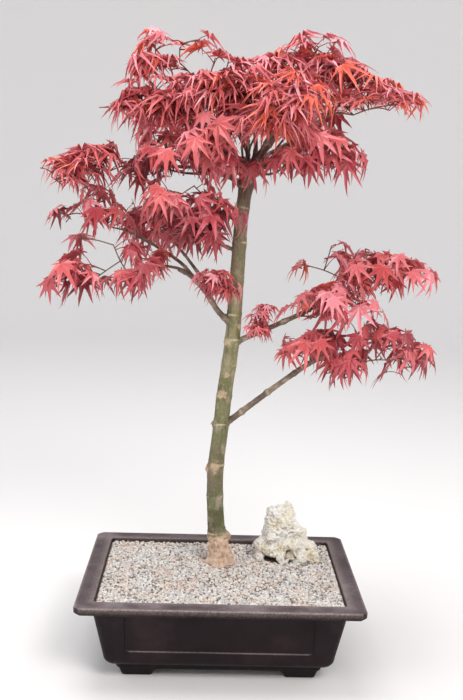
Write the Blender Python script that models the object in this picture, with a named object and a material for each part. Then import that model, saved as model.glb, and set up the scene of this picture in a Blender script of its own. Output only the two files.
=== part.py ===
"""Red-leaved Japanese maple bonsai in a footed rectangular pot, with a pitted rock on the grit."""
import math
import random

import bmesh
import bpy
from mathutils import Matrix, Vector
from mathutils.bvhtree import BVHTree

MM = 0.001
CLEAR = 0.3  # gap between neighbouring pieces, in mm

# Pot, in millimetres, centred on x = 0 and y = 0 and standing on z = 0.
RIM_HALF_X = 178.0
RIM_HALF_Y = 133.5
RIM_TOP = 113.0
LIP_HEIGHT = 9.5
LIP_CORNER = 8.0
WALL_TOP_INSET = 19.5
WALL_LOW_INSET = 32.9
WALL_LOW_Z = 34.5
SKIRT_INSET = 42.7
SKIRT_Z = 21.5
BASE_INSET = 47.0
BASE_Z = 13.0
WALL = 3.2
FLOOR = 4.5
BODY_CORNER = 9.0
PANEL_HALF_X = 118.0
PANEL_HALF_Y = 76.0
PANEL_LOW_Z = 43.5
PANEL_HIGH_Z = 96.0
PANEL_DEPTH = 1.3
FOOT_IN_X, FOOT_OUT_X = 84.0, 123.0
FOOT_IN_Y, FOOT_OUT_Y = 42.0, 77.0
FOOT_FLARE = 9.0
FOOT_SLOPE = 17.0

# Grit fill and rock.
GRIT_TOP = 108.0
GRIT_RELIEF = 1.1
ROCK_CENTRE = (92.0, 61.0)
ROCK_HALF = (47.0, 30.0)
ROCK_TURN = math.radians(14.0)
ROCK_HEIGHT = 79.0

# Trunk: (x, y, z) of its centre line, and the sizes its taper is worked out from.
TRUNK_LINE = [
    (0.0, 35.0, 108.3), (0.3, 35.0, 127.0), (-5.2, 34.5, 149.0), (-9.3, 34.0, 200.0),
    (-9.2, 34.5, 246.0), (-4.0, 36.0, 300.0), (-0.6, 36.5, 344.0), (7.4, 35.5, 413.0),
    (9.8, 35.0, 462.0), (12.2, 34.5, 520.0), (15.2, 34.8, 580.0), (22.3, 35.0, 641.0),
]
TRUNK_RADIUS = 11.4
TRUNK_TIP_RADIUS = 8.4
FLARE = 7.6
FLARE_FALL = 19.0
FORK_SWELL = 2.6
TRUNK_NODES = [163.0, 214.0, 254.0, 300.0, 343.0, 424.0, 452.0, 500.0, 545.0, 590.0]
KNOBS = [  # (height, side angle, reach, size) of scars and stubs on the trunk
    (133.0, 0.0, 13.0, 6.0), (122.0, 165.0, 13.5, 5.0), (252.0, 175.0, 7.5, 6.0),
    (303.0, 160.0, 9.0, 5.0), (356.0, 265.0, 6.5, 6.5),
]

# Boughs: where each leaves its parent and the points it passes, then radius at root and tip.
BOUGHS = {
    "bough_right_low": ("trunk", [(-3, 36, 300), (14, 33, 314), (55, 25, 349), (97, 15, 384),
                                  (114, 11, 396), (128, 7, 404)], 5.6, 3.6),
    "bough_right_mid": ("trunk", [(7, 36, 408), (22, 36, 419), (60, 38, 436), (104, 42, 457),
                                  (118, 44, 467)], 5.2, 3.4),
    "bough_right_front": ("bough_right_mid", [(52, 37, 432), (66, 28, 441), (82, 18, 450)],
                          3.4, 2.6),
    "bough_left_low": ("trunk", [(9, 35, 436), (-12, 28, 456), (-30, 20, 483), (-48, 12, 502),
                                 (-64, 8, 511)], 5.0, 3.6),
    "bough_left_back": ("bough_left_low", [(-20, 25, 468), (-30, 46, 490), (-54, 68, 520),
                                           (-66, 78, 533)], 3.0, 2.4),
    "bough_left_out": ("bough_left_low", [(-42, 15, 497), (-62, 32, 517), (-96, 42, 538),
                                          (-126, 48, 552)], 3.0, 2.4),
    "bough_left_mid": ("trunk", [(13, 35, 534), (-4, 28, 540), (-16, 16, 546)], 3.4, 2.6),
    "bough_left_high": ("trunk", [(18, 35, 616), (-4, 30, 630), (-25, 25, 633), (-44, 19, 632)],
                        4.6, 3.2),
    "bough_left_far": ("bough_left_high", [(-22, 26, 633), (-50, 44, 640), (-92, 56, 640),
                                           (-128, 42, 640)], 3.0, 2.2),
    "bough_top_left": ("trunk", [(20, 35, 634), (2, 35, 650), (-12, 33, 660), (-24, 29, 678)],
                       5.4, 3.2),
    "bough_top_peak": ("bough_top_left", [(-6, 34, 655), (-8, 38, 684), (-14, 38, 712),
                                          (-22, 36, 736)], 3.6, 2.6),
    "bough_top_middle": ("trunk", [(23, 35, 636), (30, 31, 662), (28, 22, 688)], 4.4, 3.0),
    "bough_top_right": ("trunk", [(22, 36, 634), (38, 37, 658), (60, 37, 688), (70, 35, 710)],
                        5.4, 3.2),
    "bough_top_tip": ("trunk", [(20, 33, 622), (44, 26, 646), (74, 24, 672), (112, 22, 704)],
                      4.6, 2.8),
    "bough_drop": ("bough_top_tip", [(60, 25, 659), (82, 14, 655), (98, 8, 660)], 2.6, 2.2),
    "bough_right_inner": ("bough_right_mid", [(24, 36, 420), (33, 34, 428), (38, 31, 437)],
                          2.0, 1.7),
    "bough_left_inner": ("bough_left_low", [(-33, 18, 486), (-28, 10, 490), (-22, 4, 491)],
                         2.0, 1.7),
    "bough_top_inner": ("bough_top_left", [(-2, 34, 654), (-8, 18, 661), (-13, 4, 666)],
                        3.0, 2.4),
    "bough_front": ("trunk", [(19, 34, 626), (32, 8, 652), (44, -24, 680)], 4.0, 2.8),
    "bough_back": ("trunk", [(20, 36, 626), (22, 66, 652), (22, 90, 680)], 4.8, 3.0),
    "bough_back_right": ("bough_back", [(21, 60, 648), (54, 74, 664), (78, 88, 678)], 3.6, 2.6),
    "bough_back_left": ("bough_back", [(21, 64, 652), (-8, 78, 658), (-36, 92, 664)], 3.6, 2.6),
}

# Foliage masses: bough that carries each, centre and half sizes of its space, its shoots
# and the size of its leaves.
MASSES = {
    "foliage_right_low": ("bough_right_low", (170, 4, 405), (112, 66, 50), 7, 1.0),
    "foliage_right_front": ("bough_right_front", (134, 0, 463), (72, 56, 36), 4, 0.95),
    "foliage_right_mid": ("bough_right_mid", (180, 50, 507), (106, 66, 52), 6, 1.0),
    "foliage_right_inner": ("bough_right_inner", (50, 18, 440), (34, 34, 30), 1, 0.5),
    "foliage_left_low": ("bough_left_low", (-146, -6, 503), (107, 66, 55), 6, 1.0),
    "foliage_left_inner": ("bough_left_inner", (-14, -2, 484), (46, 34, 30), 1, 0.62),
    "foliage_left_back": ("bough_left_back", (-92, 106, 558), (78, 62, 48), 3, 1.05),
    "foliage_left_out": ("bough_left_out", (-180, 56, 574), (66, 58, 44), 4, 1.0),
    "foliage_left_mid": ("bough_left_mid", (-46, -28, 584), (76, 60, 50), 4, 1.0),
    "foliage_left_high": ("bough_left_high", (-98, 0, 646), (70, 62, 48), 5, 1.0),
    "foliage_left_far": ("bough_left_far", (-174, 24, 634), (78, 58, 42), 5, 1.0),
    "foliage_top_inner": ("bough_top_inner", (-28, -22, 656), (58, 54, 46), 3, 1.0),
    "foliage_top_left": ("bough_top_left", (-98, 4, 708), (72, 60, 46), 5, 1.0),
    "foliage_top_peak": ("bough_top_peak", (-70, 32, 772), (76, 58, 46), 5, 1.0),
    "foliage_top_middle": ("bough_top_middle", (-8, -8, 730), (76, 58, 56), 6, 1.0),
    "foliage_top_right": ("bough_top_right", (98, 28, 760), (78, 60, 52), 5, 1.0),
    "foliage_top_tip": ("bough_top_tip", (176, 22, 724), (74, 60, 50), 5, 1.0),
    "foliage_drop": ("bough_drop", (116, -4, 648), (72, 54, 46), 3, 1.0),
    "foliage_front": ("bough_front", (62, -74, 698), (68, 54, 48), 4, 1.0),
    "foliage_back": ("bough_back", (22, 138, 728), (80, 62, 52), 4, 1.05),
    "foliage_back_right": ("bough_back_right", (112, 122, 698), (72, 60, 50), 3, 1.05),
    "foliage_back_left": ("bough_back_left", (-78, 118, 686), (76, 62, 50), 3, 1.05),
}
SPACE_POWER = 2.4
SPACE_MARGIN = 0.05

# Leaves: palm-shaped blades of five slender lobes on thin stalks.
LEAF_LENGTH = 47.0
LEAF_SPREAD = 0.16
LEAF_THICK = 1.5
LEAF_DROOP = 0.30
LOBES = [(0.0, 1.0), (39.0, 0.93), (84.0, 0.62)]
NOTCH = 0.34
STALK_SHORT, STALK_LONG = 15.0, 27.0
STALK_HALF = 0.42
LEAF_STEP = 3.0
TWIG_TIP = 1.3
LEAF_TRIES = 34
END_TURNS = (0.0, 112.0, -112.0)  # a pair and a leader at a twig's end
SIDE_TURNS = (95.0, -95.0)  # a pair along it
SEED = 230

PLASTIC = ("pot_plastic", (0.045, 0.024, 0.018), 0.42)
GRIT = ("grit_stone", (0.46, 0.42, 0.37), 0.9)
STONE = ("rock_stone", (0.72, 0.66, 0.52), 0.92)
BARK = ("trunk_bark", (0.23, 0.20, 0.13), 0.85)
SHOOT = ("bough_bark", (0.19, 0.13, 0.09), 0.7)
LEAF = ("leaf_red", (0.56, 0.085, 0.055), 0.55)


def clear_scene():
    for thing in list(bpy.data.objects):
        bpy.data.objects.remove(thing, do_unlink=True)


def material(spec):
    name, colour, rough = spec
    made = bpy.data.materials.get(name)
    if made is None:
        made = bpy.data.materials.new(name)
        made.use_nodes = True
        shader = made.node_tree.nodes["Principled BSDF"]
        shader.inputs["Base Color"].default_value = (*colour, 1.0)
        shader.inputs["Roughness"].default_value = rough
        shader.inputs["Metallic"].default_value = 0.0
        made.diffuse_color = (*colour, 1.0)
    return made


def new_object(name, bm, collection, spec=None):
    """Turn a bmesh in millimetres into an object in metres."""
    bmesh.ops.recalc_face_normals(bm, faces=bm.faces)
    bm.transform(Matrix.Scale(MM, 4))
    mesh = bpy.data.meshes.new(name)
    bm.to_mesh(mesh)
    bm.free()
    thing = bpy.data.objects.new(name, mesh)
    collection.objects.link(thing)
    if spec:
        mesh.materials.append(material(spec))
    return thing


def smooth(thing, degrees=40.0):
    thing.data.shade_smooth()
    thing.data.set_sharp_from_angle(angle=math.radians(degrees))


def apply_boolean(thing, other, operation, solver="EXACT"):
    """Join or cut with an object or a collection, and bake the result into the mesh."""
    mod = thing.modifiers.new("join", "BOOLEAN")
    mod.operation = operation
    mod.solver = solver
    if isinstance(other, bpy.types.Collection):
        mod.operand_type = "COLLECTION"
        mod.collection = other
    else:
        mod.object = other
    graph = bpy.context.evaluated_depsgraph_get()
    graph.update()
    baked = bpy.data.meshes.new_from_object(thing.evaluated_get(graph))
    thing.modifiers.remove(mod)
    thing.data = baked
    thing.data.name = thing.name


def drop(thing):
    mesh = thing.data
    bpy.data.objects.remove(thing, do_unlink=True)
    if mesh.users == 0:
        bpy.data.meshes.remove(mesh)


# ---------------------------------------------------------------- smooth lines and tubes


def line_point(points, where):
    """Point at a fraction of the way along a smooth line through the given points."""
    spans = len(points) - 1
    place = min(max(where, 0.0), 1.0) * spans
    i = min(int(place), spans - 1)
    t = place - i
    b, c = Vector(points[i]), Vector(points[i + 1])
    a = Vector(points[i - 1]) if i > 0 else b * 2 - c
    d = Vector(points[i + 2]) if i + 2 <= spans else c * 2 - b
    return 0.5 * (2 * b + (c - a) * t + (2 * a - 5 * b + 4 * c - d) * t * t
                  + (3 * b - a - 3 * c + d) * t ** 3)


def line_points(points, count):
    return [line_point(points, i / (count - 1)) for i in range(count)]


def frames(points):
    """Two directions square to the line at each point, carried along without twist."""
    out = []
    side = None
    for i, p in enumerate(points):
        ahead = points[min(i + 1, len(points) - 1)] - points[max(i - 1, 0)]
        ahead.normalize()
        if side is None:
            side = ahead.cross(Vector((0.0, 1.0, 0.0) if abs(ahead.y) < 0.9 else (1.0, 0.0, 0.0)))
        side = (side - ahead * side.dot(ahead)).normalized()
        out.append((side.copy(), ahead.cross(side)))
    return out


def loft(bm, rings):
    """Closed skin over rings of the same point count, with flat ends."""
    loops = [[bm.verts.new(p) for p in ring] for ring in rings]
    count = len(loops[0])
    for low, high in zip(loops, loops[1:]):
        for i in range(count):
            j = (i + 1) % count
            bm.faces.new((low[i], low[j], high[j], high[i]))
    bm.faces.new(loops[0][::-1])
    bm.faces.new(loops[-1])


def tube_rings(points, radii, sides):
    rings = []
    turn = 2 * math.pi / sides
    roll = points[-1].x * 0.37 + points[-1].z * 0.53
    for p, r, (u, v) in zip(points, radii, frames(points)):
        rings.append([p + (u * math.cos(k * turn + roll) + v * math.sin(k * turn + roll)) * r
                      for k in range(sides)])
    return rings


# ---------------------------------------------------------------- pot, grit and rock


def plan_ring(inset, z, corner, steps=3):
    """Rounded rectangle that runs round the pot at one height."""
    hx, hy = RIM_HALF_X - inset, RIM_HALF_Y - inset
    ring = []
    for k, (sx, sy) in enumerate([(1, 1), (-1, 1), (-1, -1), (1, -1)]):
        for s in range(steps + 1):
            a = math.radians(90 * k + 90 * s / steps)
            ring.append(Vector((sx * (hx - corner) + corner * math.cos(a),
                                sy * (hy - corner) + corner * math.sin(a), z)))
    return ring


def plan_block(name, stations, corner, collection, steps=3, spec=None):
    bm = bmesh.new()
    loft(bm, [plan_ring(inset, z, corner, steps) for inset, z in stations])
    return new_object(name, bm, collection, spec)


def quad_block(name, low, high, z_low, z_high, collection):
    """Box whose floor and top are different rectangles (x0, x1, y0, y1)."""
    bm = bmesh.new()
    bmesh.ops.create_cube(bm, size=2.0)
    for vert in bm.verts:
        box, z = (high, z_high) if vert.co.z > 0 else (low, z_low)
        vert.co = Vector((box[1] if vert.co.x > 0 else box[0],
                          box[3] if vert.co.y > 0 else box[2], z))
    return new_object(name, bm, collection)


def wall_inset(z):
    """Inset of the outer wall from the rim edge, at one height."""
    t = (z - WALL_LOW_Z) / (RIM_TOP - LIP_HEIGHT - WALL_LOW_Z)
    return WALL_LOW_INSET + (WALL_TOP_INSET - WALL_LOW_INSET) * t


def cavity_stations(grow, top):
    """Inner wall and floor; a positive grow makes the space smaller."""
    return [
        (BASE_INSET + 1.0 + grow, BASE_Z + FLOOR + grow),
        (WALL_LOW_INSET + WALL + 0.6 + grow, WALL_LOW_Z + grow),
        (WALL_TOP_INSET + WALL + grow, RIM_TOP - LIP_HEIGHT),
        (WALL_TOP_INSET + WALL - 0.5 + grow, top),
    ]


def make_pot(parts, cutters):
    lip_low = RIM_TOP - LIP_HEIGHT
    pot = plan_block("pot", [(BASE_INSET, BASE_Z), (SKIRT_INSET, SKIRT_Z),
                             (WALL_LOW_INSET, WALL_LOW_Z), (WALL_TOP_INSET, lip_low + 1.0)],
                     BODY_CORNER, parts, 3, PLASTIC)
    lip = plan_block("lip", [(1.6, lip_low), (0.0, lip_low + 1.8), (0.0, RIM_TOP - 1.4),
                             (1.2, RIM_TOP)], LIP_CORNER, cutters, 1)
    apply_boolean(pot, lip, "UNION")
    drop(lip)
    for sx in (1, -1):
        for sy in (1, -1):
            low = sorted((sx * FOOT_IN_X, sx * FOOT_OUT_X)) + sorted((sy * FOOT_IN_Y,
                                                                      sy * FOOT_OUT_Y))
            high = sorted((sx * (FOOT_IN_X - FOOT_SLOPE), sx * (FOOT_OUT_X + FOOT_FLARE)))
            high += sorted((sy * (FOOT_IN_Y - FOOT_SLOPE), sy * (FOOT_OUT_Y + FOOT_FLARE)))
            foot = quad_block("foot", low, high, 0.0, BASE_Z + 3.0, cutters)
            apply_boolean(pot, foot, "UNION")
            drop(foot)
    cavity = plan_block("pot_cavity_cut", cavity_stations(0.0, RIM_TOP + 2.0), 7.0, cutters)
    panels = []
    for side, half in (("x", PANEL_HALF_Y), ("y", PANEL_HALF_X)):
        for sign in (1, -1):
            edges = []
            for z in (PANEL_LOW_Z, PANEL_HIGH_Z):
                face = (RIM_HALF_X if side == "x" else RIM_HALF_Y) - wall_inset(z)
                deep, out = sorted((sign * (face - PANEL_DEPTH), sign * (face + 6.0)))
                edges.append((deep, out, -half, half) if side == "x" else (-half, half, deep, out))
            name = "pot_panel_cut_" + side + ("p" if sign > 0 else "n")
            panels.append(quad_block(name, edges[0], edges[1], PANEL_LOW_Z, PANEL_HIGH_Z, cutters))
    for cutter in [cavity] + panels:
        cutter.hide_render = True
        cutter.display_type = "WIRE"
        mod = pot.modifiers.new(cutter.name, "BOOLEAN")
        mod.operation = "DIFFERENCE"
        mod.object = cutter
    return pot


def make_grit(parts, cutters):
    rng = random.Random(11)
    bm = bmesh.new()
    bmesh.ops.create_grid(bm, x_segments=9, y_segments=7, size=1.0)
    for vert in bm.verts:
        x, y = vert.co.x * 172.0, vert.co.y * 126.0
        flat = math.hypot(x, y - 35.0) < 42.0
        flat = flat or math.hypot(x - ROCK_CENTRE[0], y - ROCK_CENTRE[1]) < 76.0
        lift = 0.0 if flat else rng.uniform(-GRIT_RELIEF, GRIT_RELIEF)
        vert.co = Vector((x, y, GRIT_TOP + lift))
    skirt = bmesh.ops.extrude_face_region(bm, geom=bm.faces[:] + bm.edges[:] + bm.verts[:])
    for item in skirt["geom"]:
        if isinstance(item, bmesh.types.BMVert):
            item.co.z = 0.0
    slab = new_object("grit_slab", bm, cutters)
    grit = plan_block("grit", cavity_stations(CLEAR, RIM_TOP), 7.0, parts, 3, GRIT)
    apply_boolean(grit, slab, "INTERSECT")
    drop(slab)
    return grit


def make_rock(parts):
    """Craggy cone with a two-humped top, standing on the grit."""
    rng = random.Random(5)
    sides, levels = 15, 8
    waves = [(2, rng.uniform(0, 6.28), 0.07), (3, rng.uniform(0, 6.28), 0.06),
             (5, rng.uniform(0, 6.28), 0.05), (7, rng.uniform(0, 6.28), 0.03)]
    rings = []
    for level in range(levels):
        t = level / (levels - 1)
        pinch = 1.0 - 0.58 * t + 0.20 * t * t - 0.18 * t ** 6
        ring = []
        for k in range(sides):
            a = 2 * math.pi * k / sides
            rough = 1.0 + sum(s * math.sin(n * a + p + 2.1 * t) for n, p, s in waves)
            rough += rng.uniform(-0.045, 0.045) * (1.0 if level else 0.4)
            x = ROCK_HALF[0] * pinch * rough * math.cos(a)
            y = ROCK_HALF[1] * pinch * rough * math.sin(a)
            hump = 0.90 + 0.11 * math.cos((x / 18.0) * 2.4 + 0.4) - 0.05 * (x / 45.0)
            z = GRIT_TOP + CLEAR + ROCK_HEIGHT * t * (1.0 + (hump - 1.0) * t * t)
            c, s = math.cos(ROCK_TURN), math.sin(ROCK_TURN)
            ring.append(Vector((ROCK_CENTRE[0] + x * c - y * s - 3.0 * t,
                                ROCK_CENTRE[1] + x * s + y * c, z)))
        rings.append(ring)
    bm = bmesh.new()
    loft(bm, rings)
    top = max(bm.faces, key=lambda f: f.calc_center_median().z)
    poked = bmesh.ops.poke(bm, faces=[top])
    poked["verts"][0].co.z += 3.0
    rock = new_object("rock", bm, parts, STONE)
    smooth(rock, 50.0)
    return rock


# ---------------------------------------------------------------- trunk and boughs


def trunk_radius(z):
    low, high = TRUNK_LINE[0][2], TRUNK_LINE[-1][2]
    t = (z - low) / (high - low)
    r = TRUNK_RADIUS + (TRUNK_TIP_RADIUS - TRUNK_RADIUS) * t
    r += FLARE * math.exp(-(z - low) / FLARE_FALL)
    r += FORK_SWELL * math.exp(-((z - high) / 26.0) ** 2)
    r += sum(0.55 * math.exp(-((z - node) / 6.0) ** 2) for node in TRUNK_NODES)
    return r


def trunk_mesh(extra, sides=10, count=22):
    bm = bmesh.new()
    rings = []
    points = line_points(TRUNK_LINE, count)
    for p in points:
        flare = math.exp(-(p.z - TRUNK_LINE[0][2]) / 14.0)
        ring = []
        for k in range(sides):
            a = 2 * math.pi * k / sides
            lobe = 1.0 + 0.13 * flare * math.cos(4 * a + 0.6)
            r = trunk_radius(p.z) * lobe + extra
            ring.append(Vector((p.x + r * math.cos(a), p.y + r * math.sin(a), p.z)))
        rings.append(ring)
    if extra:
        rings[0] = [v - Vector((0, 0, 2.0)) for v in rings[0]]
        rings[-1] = [v + Vector((0, 0, extra)) for v in rings[-1]]
    loft(bm, rings)
    return bm


def make_trunk(parts, cutters):
    trunk = new_object("trunk", trunk_mesh(0.0), parts, BARK)
    for height, side, reach, size in KNOBS:
        t = (height - TRUNK_LINE[0][2]) / (TRUNK_LINE[-1][2] - TRUNK_LINE[0][2])
        low, high = 0.0, 1.0
        for _ in range(30):
            t = 0.5 * (low + high)
            low, high = (t, high) if line_point(TRUNK_LINE, t).z < height else (low, t)
        a = math.radians(side)
        centre = line_point(TRUNK_LINE, t) + Vector((math.cos(a), math.sin(a), 0.0)) * reach
        bm = bmesh.new()
        bmesh.ops.create_icosphere(bm, subdivisions=1, radius=size,
                                   matrix=Matrix.Translation(centre))
        knob = new_object("knob", bm, cutters)
        apply_boolean(trunk, knob, "UNION")
        drop(knob)
    smooth(trunk, 50.0)
    return trunk


def bough_points(name):
    points = BOUGHS[name][1]
    return line_points(points, 2 * len(points) - 1)


def bough_curve(name, extra, collection):
    """Tapering limb as a bevelled curve, made a mesh with welded caps."""
    parent, points, root, tip = BOUGHS[name]
    curve = bpy.data.curves.new(name, "CURVE")
    curve.dimensions = "3D"
    curve.bevel_depth = 1.0 * MM
    curve.bevel_resolution = 1
    curve.use_fill_caps = True
    spline = curve.splines.new("POLY")
    line = bough_points(name)
    spline.points.add(len(line) - 1)
    for i, p in enumerate(line):
        t = i / (len(line) - 1)
        spline.points[i].co = (*(p * MM), 1.0)
        spline.points[i].radius = root + (tip - root) * t ** 0.8 + extra
    guide = bpy.data.objects.new(name + "_line", curve)
    collection.objects.link(guide)
    graph = bpy.context.evaluated_depsgraph_get()
    graph.update()
    mesh = bpy.data.meshes.new_from_object(guide.evaluated_get(graph))
    bm = bmesh.new()
    bm.from_mesh(mesh)
    bmesh.ops.remove_doubles(bm, verts=bm.verts, dist=0.00001)
    bmesh.ops.recalc_face_normals(bm, faces=bm.faces)
    bm.to_mesh(mesh)
    bm.free()
    limb = bpy.data.objects.new(name, mesh)
    collection.objects.link(limb)
    bpy.data.objects.remove(guide, do_unlink=True)
    bpy.data.curves.remove(curve)
    return limb


def keep_largest(thing):
    """Drop any loose scrap that a cut leaves beside the main body."""
    bm = bmesh.new()
    bm.from_mesh(thing.data)
    unseen = set(bm.verts)
    groups = []
    while unseen:
        stack = [unseen.pop()]
        group = set(stack)
        while stack:
            for edge in stack.pop().link_edges:
                for vert in edge.verts:
                    if vert not in group:
                        group.add(vert)
                        unseen.discard(vert)
                        stack.append(vert)
        groups.append(group)
    groups.sort(key=len)
    scraps = [v for group in groups[:-1] for v in group]
    if scraps:
        bmesh.ops.delete(bm, geom=scraps, context="VERTS")
        bm.to_mesh(thing.data)
    bm.free()
    return len(groups) - 1


def make_boughs(parts, cutters):
    limbs = {}
    made = []
    for name in BOUGHS:
        limb = bough_curve(name, 0.0, parts)
        limb.data.materials.append(material(SHOOT))
        fat = new_object("fat", trunk_mesh(CLEAR + 0.1), cutters)
        apply_boolean(limb, fat, "DIFFERENCE")
        drop(fat)
        for other in made:
            fat = bough_curve(other, CLEAR + 0.15, cutters)
            apply_boolean(limb, fat, "DIFFERENCE")
            drop(fat)
        keep_largest(limb)
        made.append(name)
        smooth(limb, 50.0)
        limbs[name] = limb
    return limbs


# ---------------------------------------------------------------- foliage


def depth_in(name, p):
    """Below one inside the mass's own space, growing outward."""
    centre, half = MASSES[name][1:3]
    return sum((abs(p[i] - centre[i]) / half[i]) ** SPACE_POWER for i in range(3))


def in_space(name, p):
    own = depth_in(name, p)
    if own > 1.0:
        return False
    return all(own + SPACE_MARGIN < depth_in(other, p) for other in MASSES if other != name)


def shoot_targets(name, rng):
    """Well-spread shoot ends inside the mass, nearest its root first."""
    _, centre, half, count, scale = MASSES[name]
    reach = [max(h - 28.0 * scale, h * 0.42) for h in half]
    outward = Vector((centre[0], centre[1] - TRUNK_LINE[-1][1], 0.0)).normalized()
    top = Vector(centre) + Vector((0.0, 0.0, reach[2] + 10.0))
    tip = Vector([centre[i] + outward[i] * reach[i] for i in range(3)])
    chosen = [p for p in (top, tip) if in_space(name, p)][:count]
    for _ in range(count - len(chosen)):
        best, best_gap = None, -1.0
        for _ in range(60):
            d = Vector([rng.uniform(-1.0, 1.0) for _ in range(3)])
            if d.length > 1.0:
                continue
            p = Vector([centre[i] + d[i] * reach[i] for i in range(3)])
            p.z += 7.0
            if not in_space(name, p):
                continue
            gap = min([(p - q).length for q in chosen], default=60.0)
            if gap > best_gap:
                best, best_gap = p, gap
        if best is not None:
            chosen.append(best)
    return chosen


def grow_twigs(name, start, heading, rng):
    """A stem from the bough's tip, and shoots that each leave the nearest twig point."""
    centre, half = MASSES[name][1:3]
    root = BOUGHS[MASSES[name][0]][3]
    hub = start.lerp(Vector(centre), 0.62)
    hub.z -= 0.12 * half[2]
    bend = start + heading * (hub - start).length * 0.5
    stem = [start, start + heading * 3.0, bend.lerp(start.lerp(hub, 0.5), 0.5), hub]
    twigs = [(stem, [root * 0.92, root * 0.9, root * 0.72, root * 0.56])]
    joints = [(stem[2], root * 0.6), (hub, root * 0.5)]
    buds = [(hub, (hub - start).normalized(), SIDE_TURNS[:1])]
    targets = sorted(shoot_targets(name, rng), key=lambda p: (p - hub).length)
    for target in targets:
        joint, thick = min(joints, key=lambda j: (j[0] - target).length)
        way = target - joint
        if way.length < 9.0:
            continue
        middle = joint + way * 0.5
        middle += Vector((rng.uniform(-1, 1), rng.uniform(-1, 1), rng.uniform(0.2, 1))) * (
            0.07 * way.length)
        first = max(TWIG_TIP, thick * 0.72)
        second = max(TWIG_TIP, first * 0.74)
        sunk = joint - way.normalized() * 0.45 * thick
        twigs.append(([sunk, middle, target], [first, second, TWIG_TIP]))
        joints += [(middle, second), (target, TWIG_TIP)]
        buds.append((middle, (target - joint).normalized(), SIDE_TURNS))
        buds.append((target - way.normalized() * 1.4, (target - middle).normalized(), END_TURNS))
    return twigs, buds


def leaf_outline():
    """Lobe tips and notches of one side and the other, as (angle, reach)."""
    half = []
    for i, (angle, reach) in enumerate(LOBES):
        half.append((angle, reach))
        if i + 1 < len(LOBES):
            half.append(((angle + LOBES[i + 1][0]) / 2, NOTCH - 0.03 * i))
    half.append((140.0, 0.065))
    return [(-a, r) for a, r in half[:0:-1]] + half


def leaf_shape(root, way, roll, rise, droop, length, stalk):
    """Points of one leaf: stalk from the twig, then a thin lens of pointed lobes."""
    up = Vector((0.0, 0.0, 1.0))
    side = way.cross(up).normalized()
    flat = up.cross(side).normalized()
    along = flat * math.cos(rise) + up * math.sin(rise)
    turn = Matrix.Rotation(roll, 3, along)
    side = turn @ side
    axis = turn @ (flat * math.cos(droop) - up * math.sin(droop))
    normal = side.cross(axis).normalized()
    heel = root + along * stalk
    rim = []
    for angle, reach in leaf_outline():
        a = math.radians(angle)
        r = reach * length
        rim.append(heel + (axis * math.cos(a) + side * math.sin(a)) * r
                   - normal * (LEAF_DROOP * r * r / length))
    top = heel + normal * LEAF_THICK * 0.5
    under = heel - normal * LEAF_THICK * 0.5
    below = along.cross(side).normalized()
    foot = [root - side * STALK_HALF, root + side * STALK_HALF, root + below * STALK_HALF * 1.3]
    return rim, top, under, foot


def leaf_mesh(shape):
    rim, top, under, foot = shape
    bm = bmesh.new()
    edge = [bm.verts.new(p) for p in rim]
    t, u = bm.verts.new(top), bm.verts.new(under)
    base = [bm.verts.new(p) for p in foot]
    count = len(edge)
    for i in range(count):
        bm.faces.new((t, edge[i], edge[(i + 1) % count]))
    for i in range(count - 1):
        bm.faces.new((u, edge[i + 1], edge[i]))
    mouth = [edge[0], edge[-1], u]
    for i in range(3):
        j = (i + 1) % 3
        bm.faces.new((mouth[i], base[i], base[j]))
        bm.faces.new((mouth[i], base[j], mouth[j]))
    bm.faces.new(base)
    return bm


def leaf_fits(name, shape, solids, twig_solid):
    rim, top, under, foot = shape
    heel = (top + under) / 2
    root = foot[0].lerp(foot[1], 0.5)
    probes = rim + [heel, root.lerp(heel, 0.5)]
    if not all(in_space(name, p) for p in probes):
        return None
    bm = leaf_mesh(shape)
    for vert in bm.verts:
        if any((vert.co - p).length < 1e-4 for p in foot):
            vert.co = vert.co.lerp(heel, 0.22)
    blade = BVHTree.FromBMesh(bm)
    bm.free()
    if blade.overlap(twig_solid):
        return None
    size = max((p - heel).length for p in rim)
    for tree, centre, reach in solids:
        if (centre - heel).length < reach + size + 30.0 and blade.overlap(tree):
            return None
    return (blade, heel, size)


def grow_leaves(name, buds, solids, twig_solid, rng):
    shapes = []
    scale = MASSES[name][4]
    for spot, heading, turns in buds:
        level = Vector((heading.x, heading.y, 0.0))
        if level.length < 0.2:
            level = Vector((rng.uniform(-1, 1), rng.uniform(-1, 1), 0.0))
        level.normalize()
        for order, turn in enumerate(turns):
            root = spot - heading * (LEAF_STEP * order)
            for attempt in range(LEAF_TRIES):
                slack = 12.0 + 5.0 * attempt
                a = math.radians(turn + rng.uniform(-slack, slack))
                way = Matrix.Rotation(a, 3, "Z") @ level
                rise = math.radians(rng.uniform(2.0, 50.0))
                tilt = min(math.radians(rng.uniform(34.0, 88.0)), math.radians(112.0) - rise)
                roll = math.radians(rng.uniform(-30.0, 30.0))
                length = scale * LEAF_LENGTH * (1.0 + rng.uniform(-LEAF_SPREAD, LEAF_SPREAD))
                stalk = scale * rng.uniform(STALK_SHORT, STALK_LONG)
                if attempt > LEAF_TRIES // 2:
                    length *= 0.84
                    stalk *= 0.8
                shape = leaf_shape(root, way, roll, rise, tilt, length, stalk)
                fit = leaf_fits(name, shape, solids, twig_solid)
                if fit:
                    shapes.append(shape)
                    solids.append(fit)
                    break
    return shapes


def twig_mesh(points, radii):
    bm = bmesh.new()
    loft(bm, tube_rings([Vector(p) for p in points], radii, 3))
    return bm


def tree_of(thing):
    bm = bmesh.new()
    bm.from_mesh(thing.data)
    bm.transform(Matrix.Scale(1.0 / MM, 4))
    tree = BVHTree.FromBMesh(bm)
    bm.free()
    return tree


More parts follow.
